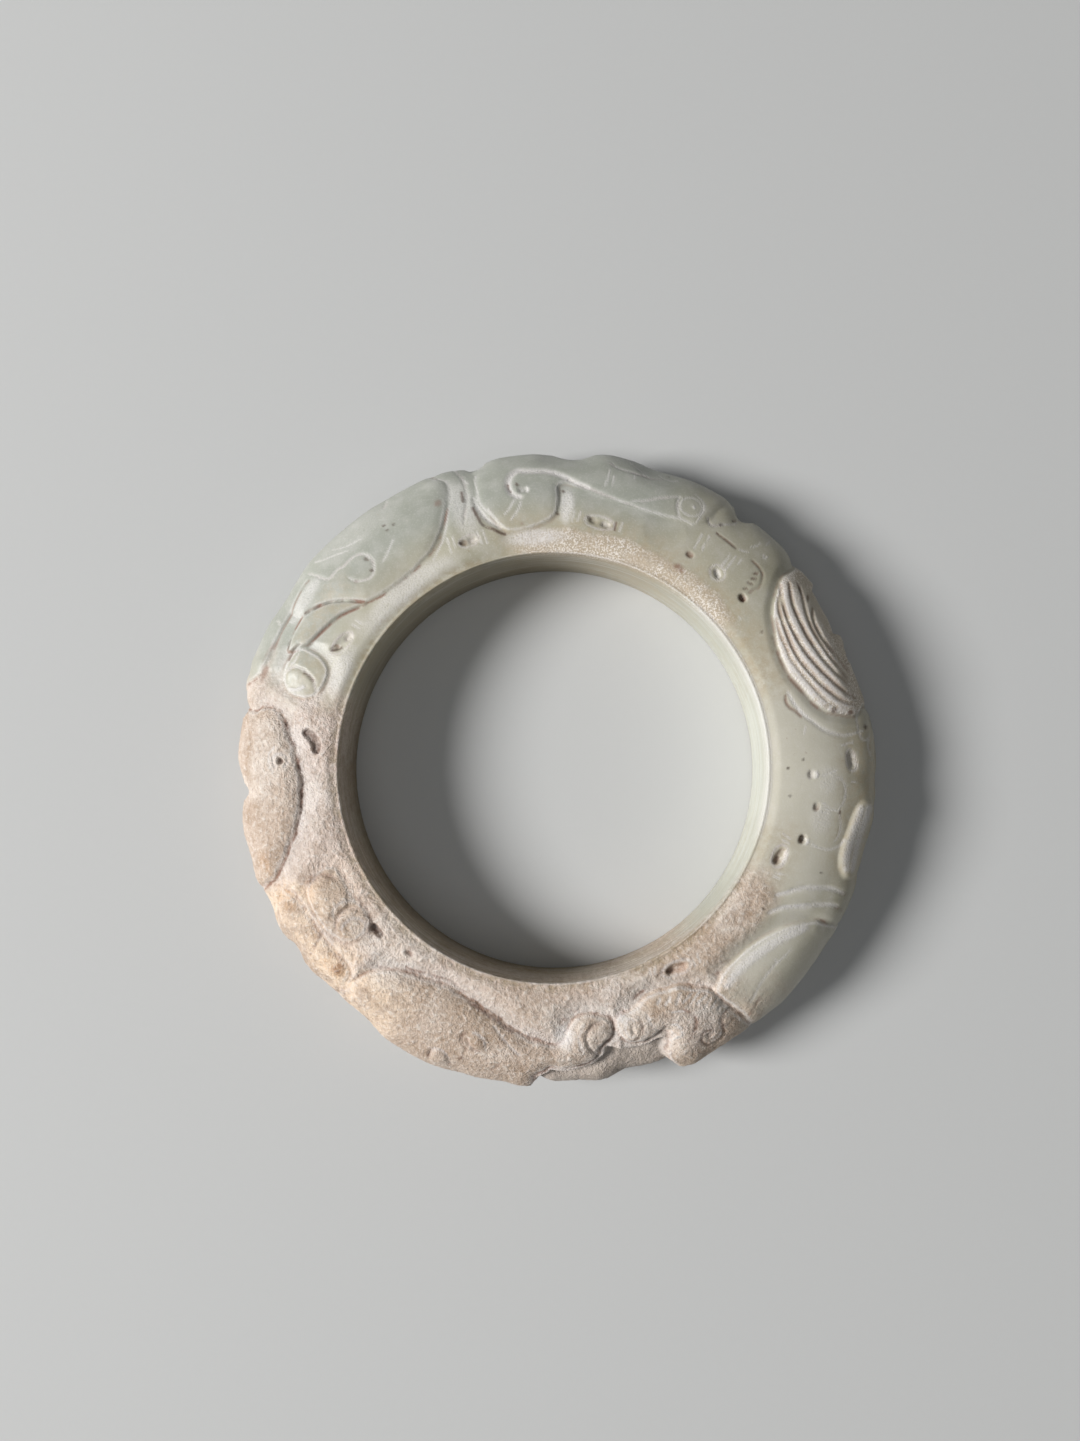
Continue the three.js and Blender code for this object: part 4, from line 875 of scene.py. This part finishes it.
# the ring: every point of the spun section is carved along the section's outward direction
def makeRing():
    b = bangle
    sectionR, sectionZ, sectionGirth, sectionPart = ringSection()
    ring = spinRing(sectionR, sectionZ)
    mesh = ring.data
    place = np.zeros(len(mesh.vertices) * 3)
    mesh.vertices.foreach_get("co", place)
    place = place.reshape(-1, 3) / mm
    angle = np.degrees(np.arctan2(place[:, 1], place[:, 0])) % 360
    r, z = np.hypot(place[:, 0], place[:, 1]), place[:, 2]
    row = np.zeros(len(r), int)
    for start in range(0, len(r), 8192):
        part = slice(start, start + 8192)
        gap = np.hypot(r[part, None] - sectionR, z[part, None] - sectionZ)
        row[part] = gap.argmin(1)
    girth, kind = sectionGirth[row], sectionPart[row]
    isUnder, isBore = kind == 1, kind == 2
    perDegree = np.radians(r)
    outR = np.roll(sectionZ, 1) - np.roll(sectionZ, -1)
    outZ = np.roll(sectionR, -1) - np.roll(sectionR, 1)
    size = np.hypot(outR, outZ)

    # calcified places, and the crust beside the bore
    nearTop = np.where(isBore, smooth(z, b["height"] - 1.6, b["height"]), 1)
    strip = zone(angle, "boreStrip") * (1 - smooth(girth, 2.6, 8)) * nearTop
    calcified = np.maximum(zone(angle, "calcified"), strip)
    crust = zone(angle, "crust") * (1 - smooth(girth, 1.5, 4.4)) * nearTop
    rough = np.maximum(calcified, 0.35 * crust)

    # outlines wander where the stone is rough
    noise.seed_set(b["seed"])
    waves = np.array([noise.noise_vector(Vector(p) * b["waveScale"]) for p in place])
    ripples = np.array([noise.noise_vector(Vector(p) * b["rippleScale"]) for p in place])
    wander = (waves + 0.5 * ripples) * (b["raggedness"] * rough)[:, None]
    lift, marks = carve(angle + wander[:, 0] / perDegree, girth + wander[:, 1], perDegree,
                        isUnder | isBore)
    change = outlineChange(angle, sectionR, sectionGirth, sectionPart)
    lift += change * smooth(girth, b["rimFrom"], b["rimTo"])

    # pitting of the calcified stone, a flat land on top, a worn edge
    grits = np.array([noise.noise(Vector(p) * b["grainScale"]) for p in place])
    grain = ripples[:, 2] + 0.8 * grits
    lift += b["grainDepth"] * rough * (grain + 0.8 * waves[:, 2]) * (1 - 0.5 * isUnder)
    lift[isBore] = 0.25 * b["grainDepth"] * (rough * grain)[isBore]
    land = (kind == 0) & (girth < b["flatLand"])
    lift[land] = np.minimum(lift[land], 0)
    lift -= b["edgeRound"] * (kind == 0) * (1 - smooth(girth, 0, b["edgeRoundRun"]))

    r = r + (outR / size)[row] * lift
    z = np.clip(z + (outZ / size)[row] * lift, 0, b["height"])
    turn = np.radians(angle)
    place = np.stack([r * np.cos(turn), r * np.sin(turn), z], 1) * mm
    mesh.vertices.foreach_set("co", place.ravel())
    mesh.update()

    masks = stoneMasks(angle, girth, z, kind, marks, calcified, crust)
    for name, values in masks.items():
        layer = mesh.attributes.new(name, "FLOAT", "POINT")
        layer.data.foreach_set("value", np.clip(values, 0, 1).astype(np.float32))
    deselectAll()
    ring.select_set(True)
    bpy.context.view_layer.objects.active = ring
    bpy.ops.object.shade_smooth()
    print("ring carved:", len(mesh.vertices), "points,", 2 * len(mesh.polygons), "triangles")
    return ring


# jade, its calcified side and its deposits: linear colours
jadeLook = {
    "pale": (0.495, 0.465, 0.36),
    "deep": (0.375, 0.35, 0.26),
    # painted greenish reflected light
    "greenishReflection": (0.36, 0.38, 0.34),
    # milky pale stone, also laid as painted light
    "milkyAndPaintedLight": (0.74, 0.70, 0.60),
    "beige": (0.47, 0.395, 0.27),
    # painted light for the bore wall's lit side
    "litBore": (0.52, 0.58, 0.53),
    # painted shade for the bore wall's shaded side
    "boreShadeOlive": (0.17, 0.13, 0.07),
    "sand": (0.54, 0.42, 0.315),
    # painted shade for the inside of sunk panels
    "panelShade": (0.40, 0.335, 0.28),
    "frost": (0.76, 0.725, 0.70),
    "chalkGround": (0.70, 0.575, 0.50),
    "chalkBody": (0.57, 0.445, 0.35),
    "ochre": (0.62, 0.33, 0.13),
    "chalkCrumb": (0.90, 0.84, 0.77),
    # cream, also laid as painted light on the crested creature
    "cream": (0.80, 0.62, 0.46),
    "tan": (0.34, 0.225, 0.145),
    "stain": (0.30, 0.23, 0.13),
    "rust": (0.22, 0.085, 0.045),
    "soil": (0.055, 0.030, 0.018),
    "polish": 0.40,           # roughness of the polished stone
    "dull": 0.72,             # roughness of the calcified stone
    "unevenPolish": 0.25,     # how much the roughness varies
    "reliefStrength": 0.8,
    "reliefDepth": 0.0005,
    "translucence": 0.12,
    "glowReach": (1.0, 1.0, 0.8),
    "glowDepth": 0.0012,
    "ior": 1.5,
}

# patterns in the stone: how fine, how many layers, how rough
patterns = {
    "clouds": (70, 4, 0.6),
    "blotch": (160, 5, 0.65),
    "mottle": (420, 4, 0.6),
    "grit": (1700, 4, 0.65),
    "fine": (4200, 2, 0.6),
    "breakUp": (900, 4, 0.7),
    "streaks": (60, 5, 0.65),
}


def attribute(tree, name):
    node = tree.nodes.new("ShaderNodeAttribute")
    node.attribute_name = name
    return node.outputs["Fac"]


def calc(tree, operation, a, b):
    node = tree.nodes.new("ShaderNodeMath")
    node.operation = operation
    for socket, value in zip(node.inputs, (a, b)):
        if isinstance(value, (int, float)):
            socket.default_value = value
        else:
            tree.links.new(value, socket)
    return node.outputs[0]


def ramp(tree, value, low, high):
    node = tree.nodes.new("ShaderNodeMapRange")
    node.interpolation_type = "SMOOTHSTEP"
    tree.links.new(value, node.inputs["Value"])
    node.inputs["From Min"].default_value = low
    node.inputs["From Max"].default_value = high
    return node.outputs["Result"]


def mixColour(tree, share, a, b):
    node = tree.nodes.new("ShaderNodeMix")
    node.data_type = "RGBA"
    tree.links.new(share, node.inputs[0])
    for socket, value in ((node.inputs[6], a), (node.inputs[7], b)):
        if isinstance(value, tuple):
            socket.default_value = (*value, 1)
        else:
            tree.links.new(value, socket)
    return node.outputs[2]


def noiseAt(tree, coordinates, scale, detail, rough):
    node = tree.nodes.new("ShaderNodeTexNoise")
    tree.links.new(coordinates, node.inputs["Vector"])
    node.inputs["Scale"].default_value = scale
    node.inputs["Detail"].default_value = detail
    node.inputs["Roughness"].default_value = rough
    return node.outputs["Fac"]


def jadeMaterial():
    look = jadeLook
    material = bpy.data.materials.new("carvedJade")
    material.use_nodes = True
    tree = material.node_tree
    shader = tree.nodes["Principled BSDF"]
    coordinates = tree.nodes.new("ShaderNodeTexCoord").outputs["Object"]

    def pattern(name, where=coordinates):
        return noiseAt(tree, where, *patterns[name])

    def times(a, b):
        return calc(tree, "MULTIPLY", a, b)

    def greater(a, b):
        return calc(tree, "MAXIMUM", a, b)

    def spots(value, low, high):
        return ramp(tree, value, low, high)

    # a mask of the ring, broken up by a pattern where one is given
    def mask(name, *broken):
        share = attribute(tree, name)
        return times(share, spots(*broken)) if broken else share

    # one more colour laid over what is there
    def lay(base, tone, share, strength=1):
        share = share if strength == 1 else times(share, strength)
        return mixColour(tree, share, base, look[tone])

    clouds, blotch, mottle = pattern("clouds"), pattern("blotch"), pattern("mottle")
    grit, fine, breakUp = pattern("grit"), pattern("fine"), pattern("breakUp")

    # polished stone: clouds, painted greenish reflected light on the upper flanks round the head
    # and leaf, beige near the bore
    colour = mixColour(tree, spots(clouds, 0.35, 0.7), look["pale"], look["deep"])
    colour = lay(colour, "greenishReflection", mask("greenishReflection"), 0.75)
    colour = lay(colour, "frost", spots(mottle, 0.4, 0.75), 0.2)
    # milky pale stone together with painted light
    colour = lay(colour, "milkyAndPaintedLight", mask("milkyAndPaintedLight"), 0.55)
    colour = lay(colour, "beige", mask("beige", breakUp, 0.25, 0.7), 0.9)
    colour = lay(colour, "frost", spots(fine, 0.5, 0.7), 0.16)
    colour = lay(colour, "tan", spots(breakUp, 0.66, 0.74), 0.5)

    # calcified stone: pale ground, browner bodies, cream where it is warmest and as painted light
    # on the crested creature, with brown
    #  pores and standing white crumbs
    drift = times(calc(tree, "SUBTRACT", blotch, 0.5), 1.1)
    chalkShare = spots(calc(tree, "ADD", mask("calcified"), drift), 0.08, 0.95)
    chalk = mixColour(tree, times(mask("standing"), 0.9), look["chalkGround"],
                      look["chalkBody"])
    chalk = lay(chalk, "sand", mask("sandy"), 0.75)
    chalk = lay(chalk, "cream", mask("warmAndPaintedLight", blotch, 0.35, 0.6))
    chalk = lay(chalk, "ochre", mask("ochre", mottle, 0.35, 0.62), 0.7)
    chalk = lay(chalk, "tan", spots(blotch, 0.52, 0.40), 0.3)
    chalk = lay(chalk, "chalkCrumb", spots(clouds, 0.5, 0.62), 0.35)
    chalk = lay(chalk, "tan", spots(mottle, 0.47, 0.68), 0.42)
    chalk = lay(chalk, "tan", spots(grit, 0.47, 0.36), 0.42)
    chalk = lay(chalk, "chalkCrumb", spots(grit, 0.53, 0.66), 0.42)
    chalk = lay(chalk, "chalkCrumb", spots(fine, 0.54, 0.68), 0.3)
    # painted shade inside the sunk panel
    chalk = lay(chalk, "panelShade", mask("panelShade"), 0.75)
    colour = mixColour(tree, chalkShare, colour, chalk)
    colour = lay(colour, "stain", mask("stained", breakUp, 0.35, 0.65), 0.6)

    # gritty crust beside the bore: tan with white crumbs, its edge broken up
    crustShare = spots(calc(tree, "ADD", mask("crust"), drift), 0.25, 0.85)
    crumbs = times(spots(fine, 0.46, 0.6), spots(blotch, 0.32, 0.6))
    colour = lay(colour, "sand", crustShare, 0.55)
    colour = lay(colour, "chalkCrumb", times(crustShare, crumbs), 0.75)

    # the bore keeps streaks that run round it; its lit side gets painted light and its shaded side
    # painted shade, darker towards the underside
    stretched = tree.nodes.new("ShaderNodeMapping")
    stretched.inputs["Scale"].default_value = (1, 1, 22)
    tree.links.new(coordinates, stretched.inputs["Vector"])
    streaks = pattern("streaks", stretched.outputs["Vector"])
    colour = lay(colour, "beige", mask("bore", streaks, 0.48, 0.64), 0.6)
    colour = lay(colour, "frost", mask("bore", streaks, 0.5, 0.36), 0.4)
    colour = lay(colour, "litBore", mask("litBore"), 0.4)
    colour = lay(colour, "boreShadeOlive", mask("paintedBoreShade"), 0.8)

    # deposits: white dust, iron rust and dark soil, all broken up
    whiteShare = mask("white", fine, 0.1, 0.55)
    rustShare = mask("rust", mottle, 0.36, 0.6)
    soilShare = mask("soil", breakUp, 0.3, 0.5)
    colour = lay(colour, "frost", whiteShare, 0.9)
    colour = lay(colour, "rust", rustShare, 0.9)
    colour = lay(colour, "soil", soilShare)
    tree.links.new(colour, shader.inputs["Base Color"])

    # roughness: polished where the stone is sound, dull on chalk, dust and soil
    chalkDust = greater(chalkShare, greater(whiteShare, crustShare))
    smoother = calc(tree, "SUBTRACT", 1.0, times(mask("sandy"), 0.5))
    gritShare = times(times(chalkShare, chalkShare), smoother)
    gritShare = greater(gritShare, times(chalkDust, 0.2))
    rough = tree.nodes.new("ShaderNodeMapRange")
    tree.links.new(greater(chalkDust, greater(rustShare, soilShare)), rough.inputs["Value"])
    rough.inputs["To Min"].default_value = look["polish"]
    rough.inputs["To Max"].default_value = look["dull"]
    uneven = times(calc(tree, "SUBTRACT", mottle, 0.5), look["unevenPolish"])
    tree.links.new(calc(tree, "ADD", rough.outputs["Result"], uneven),
                   shader.inputs["Roughness"])

    # fine relief: grit on the chalk, faint pits and scratches on the polish
    grains = calc(tree, "ADD", grit, times(fine, 0.4))
    gritHeight = times(grains, calc(tree, "ADD", times(gritShare, 0.96), 0.04))
    bump = tree.nodes.new("ShaderNodeBump")
    bump.inputs["Strength"].default_value = look["reliefStrength"]
    bump.inputs["Distance"].default_value = look["reliefDepth"]
    tree.links.new(gritHeight, bump.inputs["Height"])
    tree.links.new(bump.outputs["Normal"], shader.inputs["Normal"])

    shader.inputs["Subsurface Weight"].default_value = look["translucence"]
    shader.inputs["Subsurface Radius"].default_value = look["glowReach"]
    shader.inputs["Subsurface Scale"].default_value = look["glowDepth"]
    shader.inputs["IOR"].default_value = look["ior"]
    return material


ring = makeRing()
ring.data.materials.append(jadeMaterial())
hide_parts("bangle")
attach(ring, "root")
print("jade laid on")

studio = {
    "floorSize": 3.0,
    "floorColour": (0.56, 0.56, 0.55),
    "floorFleck": (0.46, 0.46, 0.45),
    "floorPattern": (900, 2, 0.5),
    "fleckShare": 0.08,
    "floorRoughness": 0.9,
    "keyPlace": (-1.32, -0.07, 0.90),
    "keySize": 0.6,
    "keyPower": 35.0,
    "fillPlace": (0.1, -0.2, 0.9),
    "fillSize": 0.9,
    "fillPower": 1.2,
    "skyColour": (0.75, 0.82, 0.88),
    "skyStrength": 0.09,
    "cameraPlace": (0.00294, -0.00335, 0.15285),
    "cameraTilt": (3.8167, 1.8282),
    "lens": 26.0,
    "sensor": 36.0,
    "clipStart": 0.01,
}


def makeFloor():
    deselectAll()
    bpy.ops.mesh.primitive_plane_add(size=studio["floorSize"], location=(0, 0, 0))
    floor = bpy.context.object
    floor.name = "paleFloor"
    material = bpy.data.materials.new("palePaper")
    material.use_nodes = True
    tree = material.node_tree
    shader = tree.nodes["Principled BSDF"]
    coordinates = tree.nodes.new("ShaderNodeTexCoord").outputs["Object"]
    speckle = noiseAt(tree, coordinates, *studio["floorPattern"])
    share = calc(tree, "MULTIPLY", speckle, studio["fleckShare"])
    colour = mixColour(tree, share, studio["floorColour"], studio["floorFleck"])
    tree.links.new(colour, shader.inputs["Base Color"])
    shader.inputs["Roughness"].default_value = studio["floorRoughness"]
    floor.data.materials.append(material)


# a round lamp that looks at the middle of the ring
def addLight(name, place, size, power):
    deselectAll()
    bpy.ops.object.light_add(type="AREA", location=place)
    light = bpy.context.object
    light.name = name
    light.data.shape = "DISK"
    light.data.size = size
    light.data.energy = power
    light.rotation_euler = (-Vector(place)).to_track_quat("-Z", "Y").to_euler()


def makeStudio():
    makeFloor()
    addLight("keyLight", studio["keyPlace"], studio["keySize"], studio["keyPower"])
    addLight("fillLight", studio["fillPlace"], studio["fillSize"], studio["fillPower"])
    world = bpy.data.worlds.new("softSky")
    world.use_nodes = True
    sky = world.node_tree.nodes["Background"]
    sky.inputs["Color"].default_value = (*studio["skyColour"], 1)
    sky.inputs["Strength"].default_value = studio["skyStrength"]
    scene.world = world
    deselectAll()
    bpy.ops.object.camera_add(location=studio["cameraPlace"])
    camera = bpy.context.object
    camera.name = "photoCamera"
    camera.rotation_euler = (*[math.radians(turn) for turn in studio["cameraTilt"]], 0)
    camera.data.lens = studio["lens"]
    camera.data.sensor_width = studio["sensor"]
    camera.data.clip_start = studio["clipStart"]
    scene.camera = camera
    scene.view_settings.view_transform = "Standard"


makeStudio()
print("studio set")
